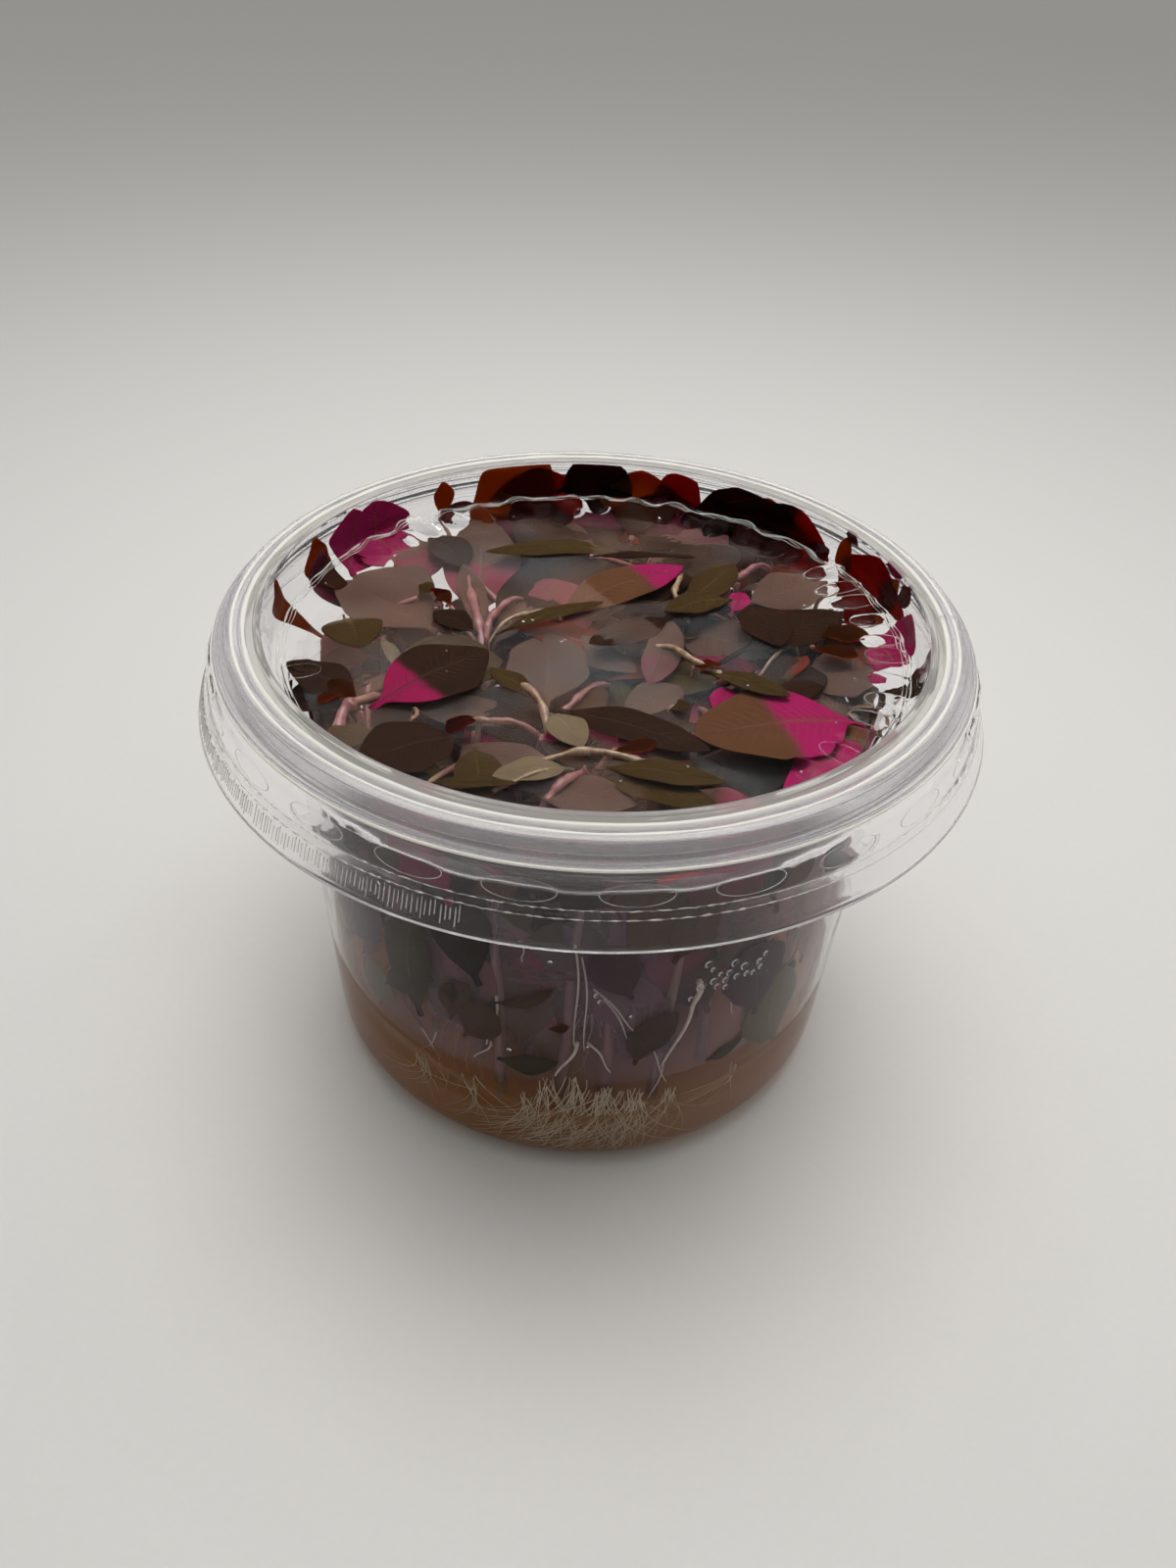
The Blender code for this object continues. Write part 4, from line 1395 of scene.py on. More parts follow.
def makeShoots():
    rng = np.random.default_rng(shoots["seed"])
    places, owners = shootPlaces(rng)
    fine = dict(leafShape, along=shoots["along"], across=shoots["across"])
    plain = dict(leafShape, along=shoots["alongLow"], across=shoots["acrossLow"])
    byPlant = {plant: ([], [], []) for plant in plants}
    for number, (spot, owner) in enumerate(zip(places, owners)):
        stems, thicks, grown = byPlant[owner]
        top = rng.uniform(*shoots["tops"])
        path = shootPath(rng, spot, top)
        if number >= len(plants):
            stems.append(path)
            thicks.append(np.linspace(*shoots["thick"], len(path)) * mm)
        level = shoots["firstPair"] + rng.uniform(0, 4)
        turn = rng.uniform(0, circle)
        while level < top:
            crown = level > top - shoots["crown"]
            share = (level - shoots["firstPair"]) / (shoots["tops"][1] - shoots["firstPair"])
            base = np.array([np.interp(level * mm, path[:, 2], path[:, k]) for k in range(3)])
            turn += math.pi / 2 + rng.uniform(-0.4, 0.4)
            stage = "crown" if level > top - 2.5 else "high"
            if share < 0.45:
                stage = "low"
            options = shoots[stage + "Kinds"]
            for side in (0, math.pi):
                length = rng.uniform(*shoots[stage + "Leaf"])
                rise = rng.uniform(0.1, 0.7) * length
                droop = rng.uniform(0.1, 0.7) * length
                shape = fine if share > 0.6 else plain
                leaf, kind = shootLeaf(rng, base, turn + side, length, rise, droop, options, shape)
                if not blocksClearing(leaf[0]):
                    grown.append((leaf, kind))
            level += rng.uniform(*shoots["pairEvery"]) * (0.45 if crown else 1.0)
    for plant, (stems, thicks, grown) in byPlant.items():
        leafPiece(f"{plant}_shoot_leaves", grown, "brown")
        if stems:
            tubePiece(f"{plant}_shoots", stems, thicks, 8, "stemPink", "stem")
    print("shoot leaves:", sum(len(grown) for _, _, grown in byPlant.values()))


# Broad leaves and bare pieces of stem close under the lid

canopyLeaves = {
    # stalk, tip, width, finish, blush at stalk and tip
    "amber_foot": ((-18.0, 13.0, 58.5), (-19.5, 39.0, 62.9), 12.0, "rose", 0.9, 0.1),
    "under_olive": ((-16.0, 10.0, 60.2), (0.5, 32.0, 62.2), 12.5, "brown", 0.1, 0.1),
    "dark_centre": ((1.5, 15.0, 61.0), (14.0, 28.0, 62.2), 10.0, "brown", 0.1, 0.1),
    "left_grey": ((-23.0, 14.0, 60.4), (-37.0, 19.0, 61.8), 12.0, "rose", 0.1, 0.1),
    "left_mauve": ((-26.0, 22.0, 59.8), (-31.0, 30.0, 62.0), 9.0, "rose", 0.9, 0.4),
    "sprig_grey": ((-20.2, 22.4, 61.6), (-27.0, 31.5, 62.8), 6.5, "brown", 0.1, 0.1),
    "olive_midrib": ((12.5, 13.5, 62.6), (20.5, 24.5, 64.2), 6.0, "olive", 0.1, 0.1),
    "right_mauve": ((22.0, 18.0, 60.8), (35.0, 24.5, 62.4), 10.0, "rose", 0.1, 0.1),
    "mauve_large": ((11.5, 12.0, 59.8), (25.5, 5.0, 60.6), 12.0, "rose", 0.2, 0.1),
    "mauve_low": ((18.0, 10.0, 59.2), (15.5, -3.0, 60.2), 9.0, "brown", 0.1, 0.1),
    "teal": ((9.0, -2.2, 60.8), (17.0, -3.4, 61.3), 8.5, "olive", 0.0, 0.0),
    "tan": ((7.0, -8.0, 61.6), (10.8, 9.0, 62.9), 5.5, "rose", 0.5, 0.2),
    "round_dark": ((21.5, -2.6, 61.0), (32.0, -1.6, 61.7), 11.0, "brown", 0.1, 0.1),
    "pale_right": ((28.5, -1.0, 60.4), (38.5, 0.6, 62.0), 11.5, "rose", 0.0, 0.0),
    "orange_right": ((31.0, 9.0, 62.4), (38.5, 5.8, 64.1), 5.2, "orange", 0.1, 0.1),
    "front_grey": ((-17.0, -19.8, 60.8), (-3.0, -28.8, 62.0), 9.0, "rose", 0.1, 0.1),
    "middle_grey": ((-19.0, -7.5, 60.3), (-4.0, -15.0, 61.2), 9.0, "brown", 0.1, 0.1),
    "far_left_grey": ((-22.5, 5.5, 60.9), (-39.0, 17.0, 61.8), 12.5, "rose", 0.2, 0.1),
    "front_pale": ((-8.0, -28.0, 61.2), (6.0, -31.6, 62.3), 7.0, "rose", 0.1, 0.1),
    "left_dark": ((-30.0, -14.8, 62.4), (-40.4, -8.4, 64.1), 6.5, "brown", 0.1, 0.1),
    "left_front_dark": ((-30.0, -8.0, 61.0), (-38.5, -16.5, 62.0), 8.0, "brown", 0.1, 0.1),
    "back_right_dark": ((8.0, 24.0, 60.8), (22.0, 33.5, 62.4), 11.0, "brown", 0.1, 0.1),
    "back_left_dark": ((-4.0, 28.0, 60.0), (-14.0, 38.5, 62.6), 10.0, "brown", 0.1, 0.1),
    "front_right_mauve": ((8.0, -27.0, 60.0), (22.0, -34.0, 61.8), 9.0, "rose", 0.3, 0.7),
    "front_middle_dark": ((0.0, -30.0, 59.5), (8.5, -38.0, 61.5), 9.0, "brown", 0.1, 0.1),
    "front_left_dark": ((-16.0, -27.0, 59.5), (-25.0, -33.0, 61.5), 9.0, "olive", 0.1, 0.1),
    "back_rim_1": ((-12.5, 39.0, 60.0), (1.5, 40.6, 60.5), 6.4, "brown", 0.1, 0.1),
    "back_rim_2": ((2.5, 40.4, 59.7), (17.0, 36.8, 60.3), 6.4, "brown", 0.1, 0.3),
    "back_fill_1": ((-3.0, 30.0, 57.5), (5.0, 42.0, 61.0), 13.0, "brown", 0.1, 0.1),
    "back_fill_2": ((9.0, 29.0, 57.8), (14.0, 40.6, 61.0), 13.0, "rose", 0.1, 0.3),
    "back_fill_3": ((-10.0, 30.0, 57.0), (-5.0, 42.0, 61.2), 12.0, "rose", 0.2, 0.1),
    "back_fill_4": ((18.0, 26.0, 57.5), (22.0, 36.5, 61.0), 12.0, "brown", 0.1, 0.1),
    "small_tan": ((2.7, -23.6, 63.6), (8.4, -22.2, 64.4), 2.3, "orange", 0.1, 0.1),
    "small_oval": ((10.0, -12.8, 62.6), (12.4, -12.0, 63.4), 1.9, "olive", 0.1, 0.1),
    "curl_dark": ((-18.6, -31.2, 63.4), (-8.2, -31.2, 64.2), 2.3, "olive", 0.1, 0.1),
    "back_strip": ((-1.5, 26.6, 63.2), (15.0, 26.0, 64.2), 1.9, "brown", 0.1, 0.1),
    "yellow_curl": ((13.6, -3.2, 63.4), (17.2, -4.0, 64.3), 2.0, "orange", 0.0, 0.0),
    "yellow_midrib": ((18.8, -5.0, 62.9), (25.8, -10.2, 64.0), 3.4, "olive", 0.0, 0.0),
    "orange_bit": ((-31.2, -12.8, 62.6), (-34.4, -17.2, 63.8), 2.3, "orange", 0.0, 0.0),
    "scrap_left": ((-35.0, -10.6, 63.2), (-40.2, -9.6, 64.3), 2.8, "brown", 0.1, 0.1),
    "amber_oval": ((30.6, 3.6, 63.0), (36.2, 0.4, 64.0), 3.6, "orange", 0.0, 0.2),
    "magenta_bit": ((15.8, -12.2, 61.4), (17.6, -6.6, 62.6), 3.6, "magenta", 1.0, 1.0),
    "magenta_right": ((19.6, 13.2, 62.0), (21.2, 17.6, 63.2), 3.4, "magenta", 0.9, 1.0),
    "magenta_low": ((-6.0, -20.8, 62.6), (-2.8, -18.6, 63.6), 2.6, "magenta", 1.0, 1.0),
    "red_bit": ((3.2, -21.8, 62.8), (5.0, -18.0, 63.9), 1.7, "magenta", 1.0, 0.8),
    "brown_cap": ((-14.0, -17.0, 62.8), (-17.6, -21.4, 63.6), 2.8, "orange", 0.6, 0.9),
    "square_spot": ((-26.2, 12.4, 62.6), (-25.0, 15.4, 63.6), 2.2, "olive", 0.0, 0.0),
    "amber_on_olive": ((-21.0, 9.2, 63.2), (-24.4, 12.2, 64.2), 2.4, "orange", 0.2, 0.9),
}
petiole = {"drop": 5.0, "rise": 2, "thick": (0.55, 0.35), "parts": 12}
twigs = {
    # finish, half thickness at both ends, height, and places across the lid
    "salmon_left": ("pink", (0.50, 0.42), 63.4, ((-17.0, -17.6), (-12.1, -18.0), (-6.0, -18.2))),
    "pink_middle": ("pink", (0.55, 0.35), 63.0, ((-5.3, -16.5), (-1.9, -11.7), (2.2, -4.6))),
    "salmon_far_left": ("pink", (0.95, 0.60), 62.9,
        ((-31.2, -22.0), (-31.4, -17.0), (-29.1, -14.1), (-25.6, -10.2))),
    "pink_front": ("pink", (0.75, 0.45), 62.8, ((-5.2, -31.5), (-2.6, -28.6), (0.0, -24.6))),
    "pink_back_left": ("pink", (0.75, 0.55), 62.6,
        ((-15.7, 2.4), (-17.0, 7.9), (-19.2, 17.0), (-19.8, 24.0))),
    "pink_back": ("pink", (0.60, 0.40), 62.9, ((-15.5, 3.2), (-14.6, 9.0), (-11.0, 16.5))),
    "rose_back_right": ("pink", (0.62, 0.45), 63.4, ((19.0, 19.6), (22.2, 23.5), (27.0, 29.4))),
    "cream_middle": ("cream", (0.38, 0.62), 63.9,
        ((-14.6, -8.4), (-11.6, -9.2), (-8.6, -11.2), (-6.4, -14.6), (-5.0, -19.4))),
    "cream_front": ("cream", (0.34, 0.60), 64.0,
        ((-9.8, -27.6), (-5.4, -25.8), (-0.6, -24.3), (5.4, -24.9), (10.6, -26.4))),
    "cream_right": ("cream", (0.34, 0.56), 63.9,
        ((7.0, 2.6), (10.2, 1.2), (13.0, -2.4), (17.0, -5.0), (20.6, -6.4))),
    "cream_back": ("cream", (0.42, 0.48), 63.6, ((13.0, 25.6), (12.0, 19.4), (11.4, 15.8), (13.4, 11.2))),
    "cream_stalk": ("cream", (0.30, 0.36), 63.7, ((-15.0, 3.2), (-10.4, 7.6), (-5.2, 10.2))),
    "brown_hook": ("pink", (0.30, 0.30), 63.2, ((-23.0, -14.6), (-22.0, -17.2), (-23.4, -19.8))),
    "cream_far_right": ("cream", (0.28, 0.28), 62.9, ((22.6, -2.0), (26.4, 3.4), (29.0, 5.6))),
    "cream_leaf_edge": ("cream", (0.30, 0.26), 64.1, ((-12.6, -32.6), (-7.0, -29.6), (-3.4, -26.6))),
}


def makeCanopyLeaves():
    # the broad leaves seen under the condensation, each on a stalk from the nearest stem
    grown = []
    stalks = []
    u = np.linspace(0, 1, 9)[:, None]
    t = np.linspace(0, 1, petiole["parts"])[:, None]
    for seed, (start, end, width, kind, atStalk, atTip) in enumerate(canopyLeaves.values()):
        start = np.array(start) * mm
        end = np.array(end) * mm
        side = unit(np.cross(unit(end - start), up))
        arch = 0.6 * mm * np.sin(u * math.pi)
        path = start + (end - start) * u + up * arch + side * 0.5 * mm * np.sin(u * math.pi)
        sides = np.repeat(side[None], len(path), 0)
        blush = (atStalk, atTip, 0.5)
        leaf = bladeMesh(path, sides, width / 2 * mm, 0.1, up, 0.25, seed + 40, blush)
        grown.append((leaf, kind))
        feet = [alongStem(plant, start[2] - petiole["drop"] * mm) for plant in plants]
        foot = min(feet, key=lambda spot: np.linalg.norm(spot[:2] - start[:2]))
        bowed = (foot + start) * t * (1 - t) + up * petiole["rise"] * mm * t * (1 - t)
        stalks.append(foot * (1 - t) ** 2 + bowed + start * t * t)
    leafPiece("canopy_leaves", grown, "brown")
    thicks = [np.linspace(*petiole["thick"], petiole["parts"]) * mm] * len(stalks)
    tubePiece("canopy_stalks", stalks, thicks, 8, "stemPink", "stem")
    print("canopy leaves:", len(grown))


def makeTwigs():
    # bare pieces of stem that lie close under the lid
    u = np.linspace(0, 1, 40)
    joint = 1 + 0.30 * np.exp(-((u - 0.5) / 0.06) ** 2)
    for finish, look in (("pink", "stemPink"), ("cream", "stemCream")):
        paths = []
        thicks = []
        for number, (kind, thick, height, spots) in enumerate(twigs.values()):
            if kind != finish:
                continue
            flat = smoothAlong(np.linspace(0, 1, len(spots)), np.array(spots), u)
            z = height - 2.4 * np.abs(2 * u - 1) ** 3 + 0.15 * np.sin(u * 11 + number)
            paths.append(np.column_stack([flat, z]) * mm)
            knobs = 1 + 0.16 * np.sin(u * 23 + 2 * number) + 0.10 * np.sin(u * 41 + number)
            thicks.append(0.9 * np.linspace(*thick, len(u)) * joint * knobs * mm)
        tubePiece(f"{finish}_twigs", paths, thicks, 10, look, "stem")


# Leaves pressed against the inside of the wall, and leaves that stand in the gap behind the collar

pressed = {
    "top": 70.4,
    "gap": 0.45,
    "curve": 0.10,
    "planRadius": 42.0,
    # height at which leaves come nearer to the wall, over how far, and the least share of the gap
    "nearer": (63, 4, 0.15),
    "blush": (0.3, 0.1, 0.4),
    "shape": dict(leafShape, along=15, across=4),
}
wallLeaves = {
    # angle from the front, height of the stalk, heading (0 is up, 90 to the right), length, width, finish
    "olive_low_left": (-41, 27.0, 60, 8, 4.0, "olive"),
    "olive_flat": (-15, 22.5, 80, 9, 4.2, "olive"),
    "olive_left_front": (-32, 25.0, 3, 20.5, 8.6, "olive"),
    "purple_left": (-54, 30.0, 8, 20, 15.0, "purple"),
    "cream_left": (-45, 20.5, 14, 9, 8.0, "pale"),
    "magenta_mid_left": (-22, 25.0, 20, 9, 7.0, "magenta"),
    "orange_scrap": (-24.5, 30.5, 10, 4.5, 2.2, "orange"),
    "orange_scrap_2": (-5, 30.6, 70, 3.0, 1.8, "orange"),
    "purple_mid": (10, 37.0, -14, 11, 7.0, "purple"),
    "magenta_mid": (17, 43.0, 10, 12, 7.0, "magenta"),
    "red_low_mid": (12, 23.0, 30, 11, 6.5, "rose"),
    "purple_right": (38, 26.0, -18, 16, 11.0, "purple"),
    "tan_right": (48, 15.0, -8, 18, 12.0, "pale"),
    "magenta_curl": (-16, 33.5, 60, 10, 2.2, "magenta"),
    "magenta_fold": (-25, 27.0, 20, 9, 5.0, "magenta"),
    "olive_tiny_right": (28, 19.5, 70, 6.5, 3.2, "olive"),
    "olive_by_drops": (30, 33.0, 35, 6.0, 2.8, "olive"),
    "olive_far_right": (45, 27.0, 25, 5.5, 2.6, "olive"),
    "brown_upper": (-18.5, 36.0, -6, 20, 10.5, "brown"),
    "brown_skirt_left": (-42, 47.0, 30, 16, 10.0, "rose"),
    "pink_skirt_left": (-19, 53.5, 66, 10, 4.6, "magenta"),
    "dark_skirt_left": (-28, 50.0, 20, 13, 8.0, "brown"),
    "brown_skirt_mid": (-2, 47.0, -30, 15, 8.5, "rose"),
    "rose_skirt_mid": (8, 44.0, 20, 15, 8.0, "magenta"),
    "maroon_skirt_mid": (3, 54.0, 80, 10, 3.6, "magenta"),
    "red_skirt_right": (24, 48.0, -35, 16, 9.0, "red"),
    "magenta_upper_right": (38, 46.0, 15, 14, 8.0, "magenta"),
    "brown_right": (57, 44.0, -20, 16, 9.0, "brown"),
}
wallFill = {
    "count": 150,
    "highest": 61.0,
    "heights": (22.0, 54.0),
    "long": (9.0, 19.0),
    "slender": (0.42, 0.62),
    "gap": (1.5, 3.0),
    "kinds": ("brown", "olive", "rose", "purple", "brown", "rose", "purple", "magenta"),
    "seed": 500,
}


def wallRadius(height):
    # the inner wall, then the middle of the gap between the lid's well and the cup's collar
    return np.interp(height, [4, 60, 62.8, 64, 70.2], [38.8, 41.0, 44.2, 45.0, 45.1])


def pressedLeaf(angle, height, heading, length, width, gap, seed, blush):
    # a flat leaf made beside the wall's plan, then laid against the wall; heading leans to growing angle
    u = np.linspace(0, 1, 9)
    lean = math.radians(heading)
    curve = pressed["curve"] * length * np.sin(u * math.pi) * (1 if seed % 2 else -1)
    x = length * u * math.sin(lean) + curve * math.cos(lean)
    z = np.minimum(height + length * u * math.cos(lean) - curve * math.sin(lean), pressed["top"])
    path = np.stack([x, np.zeros_like(x), z], 1) * mm
    side = np.repeat([[math.cos(lean), 0.0, -math.sin(lean)]], len(path), 0)
    leaf = bladeMesh(path, side, width / 2 * mm, 0.1, np.array([0, -1.0, 0]), 0.10, seed, blush,
                     pressed["shape"])
    flat = leaf[0] / mm
    level = np.clip(flat[:, 2], 5.0, pressed["top"])
    nearFrom, nearOver, least = pressed["nearer"]
    held = gap * np.clip((nearFrom - level) / nearOver, least, 1)
    reach = wallRadius(level) - held - flat[:, 1]
    turn = math.radians(angle) + flat[:, 0] / pressed["planRadius"]
    leaf[0][:] = around(reach, level, turn)
    return leaf


standingLeaves = {
    # angle, height of the stalk, heading, length, width, finish, blush at stalk and tip
    "amber_left": (121, 61.6, -58, 17.0, 13.0, "orange", 0.1, 0.1),
    "black_middle": (100, 65.6, -84, 12.0, 9.4, "red", 1.0, 1.0),
    "dark_spot": (90, 65.4, -60, 5.0, 4.0, "red", 1.0, 1.0),
    "red_triangle": (76, 62.0, -30, 8.5, 8.0, "orange", 1.0, 1.0),
    "black_right": (73, 63.2, -72, 17.0, 12.0, "red", 1.0, 0.9),
    "red_right": (60, 64.6, -100, 17.0, 11.0, "red", 0.9, 0.1),
    "back_seal_1": (108, 61.2, -92, 17.0, 6.5, "brown", 0.1, 0.1),
    "back_seal_2": (88, 61.4, -88, 17.0, 6.5, "brown", 0.2, 0.1),
    "back_seal_4": (101, 61.2, -90, 19.0, 7.5, "brown", 0.1, 0.1),
    "back_seal_3": (69, 61.2, -91, 15.0, 6.5, "brown", 0.1, 0.1),
    "back_low_1": (112, 54.2, 6, 8.6, 12.0, "brown", 0.1, 0.1),
    "back_low_2": (99, 54.6, -8, 8.2, 13.0, "rose", 0.1, 0.2),
    "back_low_3": (90, 54.0, 5, 8.6, 12.0, "brown", 0.1, 0.1),
    "back_low_4": (80, 54.4, -6, 8.4, 13.0, "brown", 0.2, 0.1),
    "back_low_5": (68, 54.2, 8, 8.6, 13.0, "rose", 0.1, 0.3),
    "back_low_6": (56, 54.6, -4, 8.0, 12.0, "brown", 0.1, 0.1),
    "rose_tip_right": (45, 64.2, -70, 5.5, 3.6, "rose", 0.3, 0.2),
    "amber_right": (32, 62.0, 7, 8.0, 3.4, "orange", 0.1, 0.1),
    "olive_tip_right": (31, 69.2, 70, 2.8, 2.0, "olive", 0.1, 0.1),
    "amber_far_right": (19, 61.0, -12, 8.5, 4.0, "orange", 0.1, 0.1),
    "magenta_far_right": (11, 57.0, -8, 10.5, 8.0, "magenta", 1.0, 1.0),
    "magenta_tip_right": (22, 69.8, -88, 4.4, 2.6, "magenta", 1.0, 1.0),
    "dark_bit_right": (16, 66.6, -40, 4.6, 3.2, "olive", 0.0, 0.0),
    "pale_wall_right": (-13, 60.5, -160, 8.0, 5.0, "pale", 0.3, 0.1),
    "olive_sprig": (126, 63.8, -10, 6.0, 3.4, "orange", 0.1, 0.1),
    "olive_sprig_side": (126, 63.2, -78, 6.4, 2.4, "olive", 0.1, 0.1),
    "magenta_left": (152, 61.2, -24, 10.0, 9.4, "magenta", 0.9, 1.0),
    "dark_left": (158, 58.0, -10, 8.5, 6.0, "brown", 0.0, 0.0),
    "magenta_wall_right": (-28, 50.0, 10, 13.0, 9.0, "magenta", 0.9, 0.7),
    "dark_front_left": (232, 48.0, 14, 16.5, 11.0, "brown", 0.1, 0.1),
    "magenta_front_left": (247, 50.0, -16, 15.0, 9.0, "magenta", 0.9, 0.9),
    "dark_front": (262, 49.0, 10, 16.0, 12.0, "brown", 0.1, 0.3),
    "rose_front": (277, 50.0, -8, 15.0, 9.0, "rose", 0.6, 0.9),
    "red_front": (290, 49.0, 12, 16.0, 11.0, "magenta", 0.4, 0.8),
    "brown_front_right": (306, 48.0, -12, 16.0, 10.0, "brown", 0.1, 0.2),
    "magenta_front_right": (318, 50.0, 14, 14.0, 9.0, "magenta", 1.0, 0.8),
}
sprigStems = (
    # angle and height at the foot and at the top, half thickness
    (125.0, 58.0, 126.0, 64.4, 0.42),
    (153.0, 56.0, 158.2, 62.4, 0.50),
    (33.0, 57.0, 32.0, 62.6, 0.40),
)


def makeStandingLeaves():
    grown = []
    for seed, facts in enumerate(standingLeaves.values()):
        angle, height, heading, length, width, kind, atStalk, atTip = facts
        gap = pressed["gap"] + 0.5 * (seed % 3)
        leaf = pressedLeaf(angle, height, heading, length, width, gap, seed, (atStalk, atTip, 0.5))
        grown.append((leaf, kind))
    leafPiece("standing_leaves", grown, "red")
    u = np.linspace(0, 1, 14)
    paths = []
    for fromAngle, fromZ, toAngle, toZ, _ in sprigStems:
        z = fromZ + (toZ - fromZ) * u
        paths.append(around(wallRadius(z) - 1.1, z, np.radians(fromAngle + (toAngle - fromAngle) * u)))
    thicks = [sprig[4] * mm * (1 - 0.3 * u) for sprig in sprigStems]
    tubePiece("sprig_stems", paths, thicks, 8, "stemPink", "stem")
    print("standing leaves:", len(grown))


def makeWallLeaves():
    rng = np.random.default_rng(wallFill["seed"])
    grown = []
    for seed, (angle, height, heading, length, width, kind) in enumerate(wallLeaves.values()):
        gap = 0.22 + 0.034 * seed
        leaf = pressedLeaf(angle - 90, height, heading, length, width, gap, seed, pressed["blush"])
        grown.append((leaf, kind))
    for _ in range(wallFill["count"]):
        angle = rng.uniform(-180, 180)
        height = rng.uniform(*wallFill["heights"])
        heading = rng.normal(0, 45)
        length = rng.uniform(*wallFill["long"])
        width = length * rng.uniform(*wallFill["slender"])
        blush = (rng.uniform(0, 0.8), rng.uniform(0, 0.8), 0.5)
        seed = int(rng.integers(1, 10 ** 6))
        kind = wallFill["kinds"][int(rng.integers(len(wallFill["kinds"])))]
        gap = rng.uniform(*wallFill["gap"])
        leaf = pressedLeaf(angle - 90, height, heading, length, width, gap, seed, blush)
        if not blocksClearing(leaf[0]) and leaf[0][:, 2].max() < wallFill["highest"] * mm:
            grown.append((leaf, kind))
    leafPiece("wall_leaves", grown, "olive")
    print("wall leaves:", len(grown))


# Roots: a tuft under each stem, and loose strands that cross the gel near the front

roots = {
    "perPlant": 20,
    "thick": (0.08, 0.15),
    "sides": 5,
    "parts": 13,
    "floor": 2.6,
    "crown": 19.6,
    "neck": 18.5,
    "seed": 900,
}
rootTufts = (
    # angle from the front and height of the crown, count, spread in degrees at the foot, lowest height
    (-5.0, 21.0, 16, 10.0, 3.2),
    (-9.0, 17.0, 12, 8.0, 3.4),
    (1.0, 21.5, 26, 11.0, 2.4),
    (6.0, 19.5, 34, 13.0, 2.0),
    (12.0, 18.5, 30, 12.0, 2.2),
    (20.0, 18.5, 12, 12.0, 4.0),
    (-32.0, 18.5, 9, 9.0, 6.5),
    (-20.0, 18.0, 9, 10.0, 5.0),
    (34.0, 18.0, 6, 14.0, 6.0),
)
looseRoots = {"depth": (-0.71, -0.66), "deepest": -0.70, "half": (0.035, 0.075), "seed": 41}
airRoots = (
    # angle from the front, height at the top, angle and height at the foot, thickness
    (-15.5, 34, -17, 24, 0.20),
    (-17, 24, -20, 20, 0.16),
    (-1, 47, 0.5, 27, 0.17),
    (0.5, 44, 2.5, 26, 0.15),
    (0.5, 27, -3, 20, 0.30),
    (2.5, 27, 8, 21, 0.18),
    (3, 38, 12.5, 29, 0.15),
    (12.5, 29, 20, 17, 0.15),
    (5, 36, 12, 26, 0.13),
    (23.5, 37, 23, 32, 0.50),
    (23, 32, 18.5, 21, 0.30),
    (18.5, 21, 16, 12, 0.13),
    (14, 12, 22, 9, 0.14),
    (-34, 20, -27, 12, 0.12),
    (-30, 21, -36, 12, 0.12),
    (-11, 45.5, -9.5, 42.5, 0.12),
    (30, 33, 33, 28, 0.14),
)


def makeRoots():
    u = np.linspace(0, 1, roots["parts"])
    for number, plant in enumerate(plants):
        rng = np.random.default_rng(roots["seed"] + number)
        neck = alongStem(plant, roots["neck"] * mm, 2)
        paths = []
        thicks = []
        for _ in range(roots["perPlant"]):
            turn = rng.uniform(0, circle)
            spreadBy = rng.uniform(1.5, 6.5)
            bend = turn + rng.uniform(-0.8, 0.8) * u
            reach = (0.3 + spreadBy * u ** 0.8) * mm
            low = rng.uniform(roots["floor"], 9.0)
            z = (roots["crown"] + (low - roots["crown"]) * u ** 1.2) * mm
            wiggle = 0.35 * mm * np.sin(u * rng.uniform(8, 20) + rng.uniform(0, 6))
            x = neck[0] + np.cos(bend) * reach + wiggle * u
            y = neck[1] + np.sin(bend) * reach - wiggle * u
            paths.append(keepInside(np.stack([x, y, z], 1), 1.0))
            thicks.append(rng.uniform(*roots["thick"]) * mm * (1 - 0.6 * u))
        node = f"{plant}_stem_and_roots"
        tubePiece(f"{plant}_roots", paths, thicks, roots["sides"], "rootWhite", "stem", node)
    print("roots made")


def makeLooseRoots():
    rng = np.random.default_rng(looseRoots["seed"])
    paths = []
    thicks = []
    u = np.linspace(0, 1, roots["parts"])
    for crownAngle, crownZ, count, fan, lowest in rootTufts:
        for _ in range(count):
            start = crownAngle + rng.normal(0, 1.1)
            end = crownAngle + rng.normal(0, 0.6 * fan)
            sweep = rng.normal(-5.0, 5.0) * u ** 3
            sway = rng.uniform(-2.4, 2.4) * np.sin(u * 3.1)
            turn = np.radians(start + (end - start) * u ** 1.3 + sweep + sway)
            top = crownZ - rng.uniform(0, 3.5)
            low = lowest + abs(rng.normal(0, 4.0))
            z = top + (low - top) * u ** 0.9
            depth = rng.uniform(*looseRoots["depth"]) + 0.5 * np.clip((z - 14) / 6, 0, 1)
            paths.append(keepInside(aroundFront(bodyInside(z) - depth, z, turn), looseRoots["deepest"]))
            thicks.append(rng.uniform(*looseRoots["half"]) * mm * (1.25 - 0.75 * u))
    tubePiece("loose_roots", paths, thicks, roots["sides"], "rootTan", "stem")


def makeAirRoots():
    paths = []
    thicks = []
    u = np.linspace(0, 1, roots["parts"])
    for fromAngle, fromZ, toAngle, toZ, thick in airRoots:
        turn = np.radians(fromAngle + (toAngle - fromAngle) * u + 0.6 * np.sin(u * 5))
        z = fromZ + (toZ - fromZ) * u
        paths.append(aroundFront(bodyInside(z) - 0.9 - 0.5 * (1 - u), z, turn))
        thicks.append(thick * mm * (1 - 0.45 * u))
    tubePiece("air_roots", paths, thicks, roots["sides"], "rootWhite", "stem")


# The bed of gel

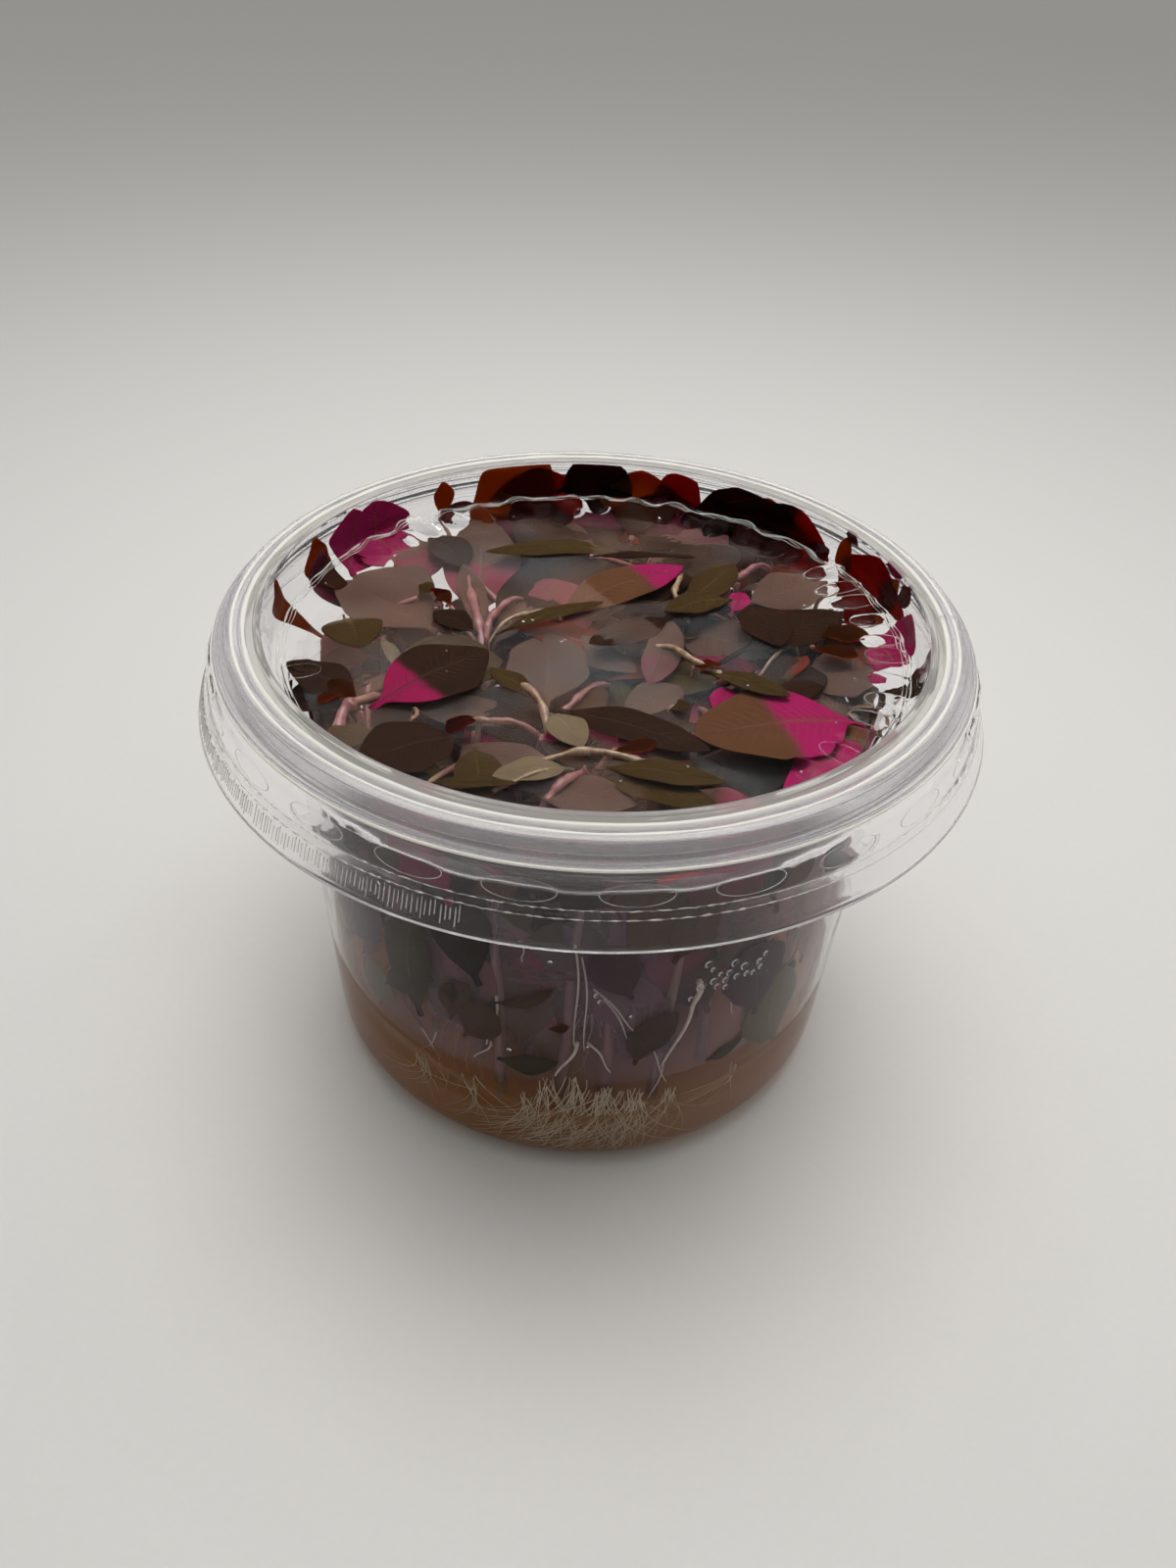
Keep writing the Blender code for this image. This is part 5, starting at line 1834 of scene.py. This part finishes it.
gelLow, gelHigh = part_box("gel")
gel = {"top": gelHigh.z / mm, "low": gelLow.z / mm, "gap": -0.62, "turns": 200, "rings": 34, "rise": 3.4,
       "dip": 4.0}


def gelShift(radius, height, angle):
    onTop = height > gel["top"] - 0.5
    x = radius * np.cos(angle)
    y = radius * np.sin(angle)
    slow = 0.5 * np.sin(x * 0.16 + 1.0) + 0.5 * np.sin(y * 0.19 + 2.2) + 0.25 * np.sin((x + y) * 0.4)
    leftRise = gel["rise"] * np.clip(-x / 38, 0, 1) ** 1.5
    frontDip = -gel["dip"] * np.exp(-((x - 4) / 16) ** 2) * np.clip(-y / 38, 0, 1)
    return 0.0, onTop * (0.6 * slow + leftRise + frontDip)


def makeGel():
    topR = bodyInside(gel["top"]) - gel["gap"]
    radii = np.linspace(0, topR, gel["rings"])
    surface = np.stack([radii, np.full_like(radii, gel["top"])], 1)
    corner = cup["footCorner"]
    turn = np.linspace(0, math.pi / 2, 8)
    bend = corner - cup["wall"] - gel["gap"]
    lowR = cup["footFlat"] + bend * np.cos(turn)
    lowZ = corner - bend * np.sin(turn)
    walls = np.stack([lowR, lowZ], 1)
    beside = cup["footRecess"] + 1.6
    base = np.array([[beside, lowZ[-1]], [beside - 0.2, gel["low"]], [16.0, gel["low"]], [0.0, gel["low"]]])
    mesh = turned("nutrient_gel", np.vstack([surface, walls, base]), gel["turns"], gelShift)
    placePiece("nutrient_gel", mesh, ["gelAmber"], "gel", "gel")
    print("gel made")


# Drops of water on the wall and under the lid

drops = {
    "cluster": ((23.7, 41.6, 0.52), (29.4, 40.2, 0.55), (31.7, 38.8, 0.55), (35.2, 38.4, 0.42),
                (28.5, 38.6, 0.44), (30.3, 37.3, 0.42), (32.6, 37.0, 0.42), (34.2, 36.6, 0.36),
                (35.8, 37.1, 0.36), (27.9, 37.4, 0.44), (25.4, 37.9, 0.50), (26.4, 36.6, 0.46),
                (22.9, 37.4, 0.62), (28.2, 35.9, 0.38), (21.2, 35.5, 0.34), (3.5, 38.3, 0.32),
                (4.2, 37.1, 0.30), (24.8, 40.3, 0.32), (36.4, 39.4, 0.34), (26.6, 38.9, 0.30)),
    "tube": 0.10,
    "onWall": 50,
    "underLid": 30,
    "heights": (22, 58),
    "lidReach": 41,
    "flat": (0.55, 0.5),
    "rows": 7,
    "turns": 14,
    "size": (0.22, 0.75),
    "seed": 61,
}


def dropBlob(centre, outward, size, flat):
    # a small flattened ball against a wall
    turns = drops["turns"]
    across = unit(np.cross(outward, [0.31, 0.22, 0.92]))
    ring = ringRound(across[None], np.cross(outward, across)[None], turns)[0]
    points = [centre + outward * size * flat]
    for i in range(1, drops["rows"]):
        lean = math.pi * i / drops["rows"]
        points += list(centre + (ring * math.sin(lean) + outward * flat * math.cos(lean)) * size)
    points.append(centre - outward * size * flat)
    last = len(points) - 1
    low = last - turns
    faces = [[0, 1 + k, 1 + (k + 1) % turns] for k in range(turns)]
    for start in range(1, low, turns):
        faces += ringFaces(start, start + turns, turns, upFirst=True)
    faces += [[last, low + (k + 1) % turns, low + k] for k in range(turns)]
    return np.array(points), faces


def makeDrops():
    rng = np.random.default_rng(drops["seed"])
    blobs = []
    onWall, onLid = drops["flat"]
    for _ in range(drops["onWall"]):
        turn = math.radians(rng.uniform(-180, 180))
        z = rng.uniform(*drops["heights"])
        size = 0.5 * rng.uniform(*drops["size"])
        outward = np.array([math.sin(turn), -math.cos(turn), 0.0])
        centre = outward * (bodyInside(z) - 0.08 - onWall * size) + np.array([0, 0, z])
        blobs.append(dropBlob(centre * mm, outward, size * mm, onWall))
    for _ in range(drops["underLid"]):
        reach = drops["lidReach"] * math.sqrt(rng.uniform(0, 1))
        turn = rng.uniform(0, circle)
        size = 0.4 * rng.uniform(*drops["size"])
        z = lid["underPanel"] - 0.06 - onLid * size
        centre = np.array([reach * math.cos(turn), reach * math.sin(turn), z])
        blobs.append(dropBlob(centre * mm, up, size * mm, onLid))
    placePiece("water_drops", meshFrom("water_drops", *joined(blobs)), ["water"], "clear")
    print("drops:", len(blobs))


def makeBubbles():
    # each bubble is a thin ring of water, which shows dark, with a pale arc over its upper left: a painted
    # highlight
    whole = np.linspace(0, circle, 25)
    arc = np.linspace(1.4, 4.2, 13)
    rings = (("bubble_rings", whole, 0.12, "water", 0.9), ("bubble_lights", arc, 0.06, "bubbleWhite", 1.1))
    for name, once, inwards, look, thicker in rings:
        paths = []
        for angle, z, size in drops["cluster"]:
            height = z + size * np.sin(once)
            reach = bodyInside(height) - inwards
            paths.append(aroundFront(reach, height, math.radians(angle) + size * np.cos(once) / reach))
        thicks = [np.full(len(once), drops["tube"] * thicker * mm)] * len(paths)
        tubePiece(name, paths, thicks, 6, look, "clear")


def makeFloor():
    corners = np.array([[-1, -1, 0], [1, -1, 0], [1, 1, 0], [-1, 1, 0]]) * floorSize
    mesh = meshFrom("floor", corners, [[0, 1, 2, 3]])
    mesh.materials.append(finishes["paper"])
    floor = addObject("floor", mesh)
    floor.location.z = floorDrop


makeCamera()
makeLight()
makeFloor()
makeCup()
makeLid()
makeHighlightAndShadeLines()
makeFilms()
makeMainLeaves()
makeStems()
makeShoots()
makeCanopyLeaves()
makeTwigs()
makeWallLeaves()
makeStandingLeaves()
makeRoots()
makeLooseRoots()
makeAirRoots()
makeGel()
makeDrops()
makeBubbles()

meshes = [piece.data for piece in bpy.context.scene.objects if piece.type == "MESH"]
print("triangles:", sum(len(face.vertices) - 2 for mesh in meshes for face in mesh.polygons))
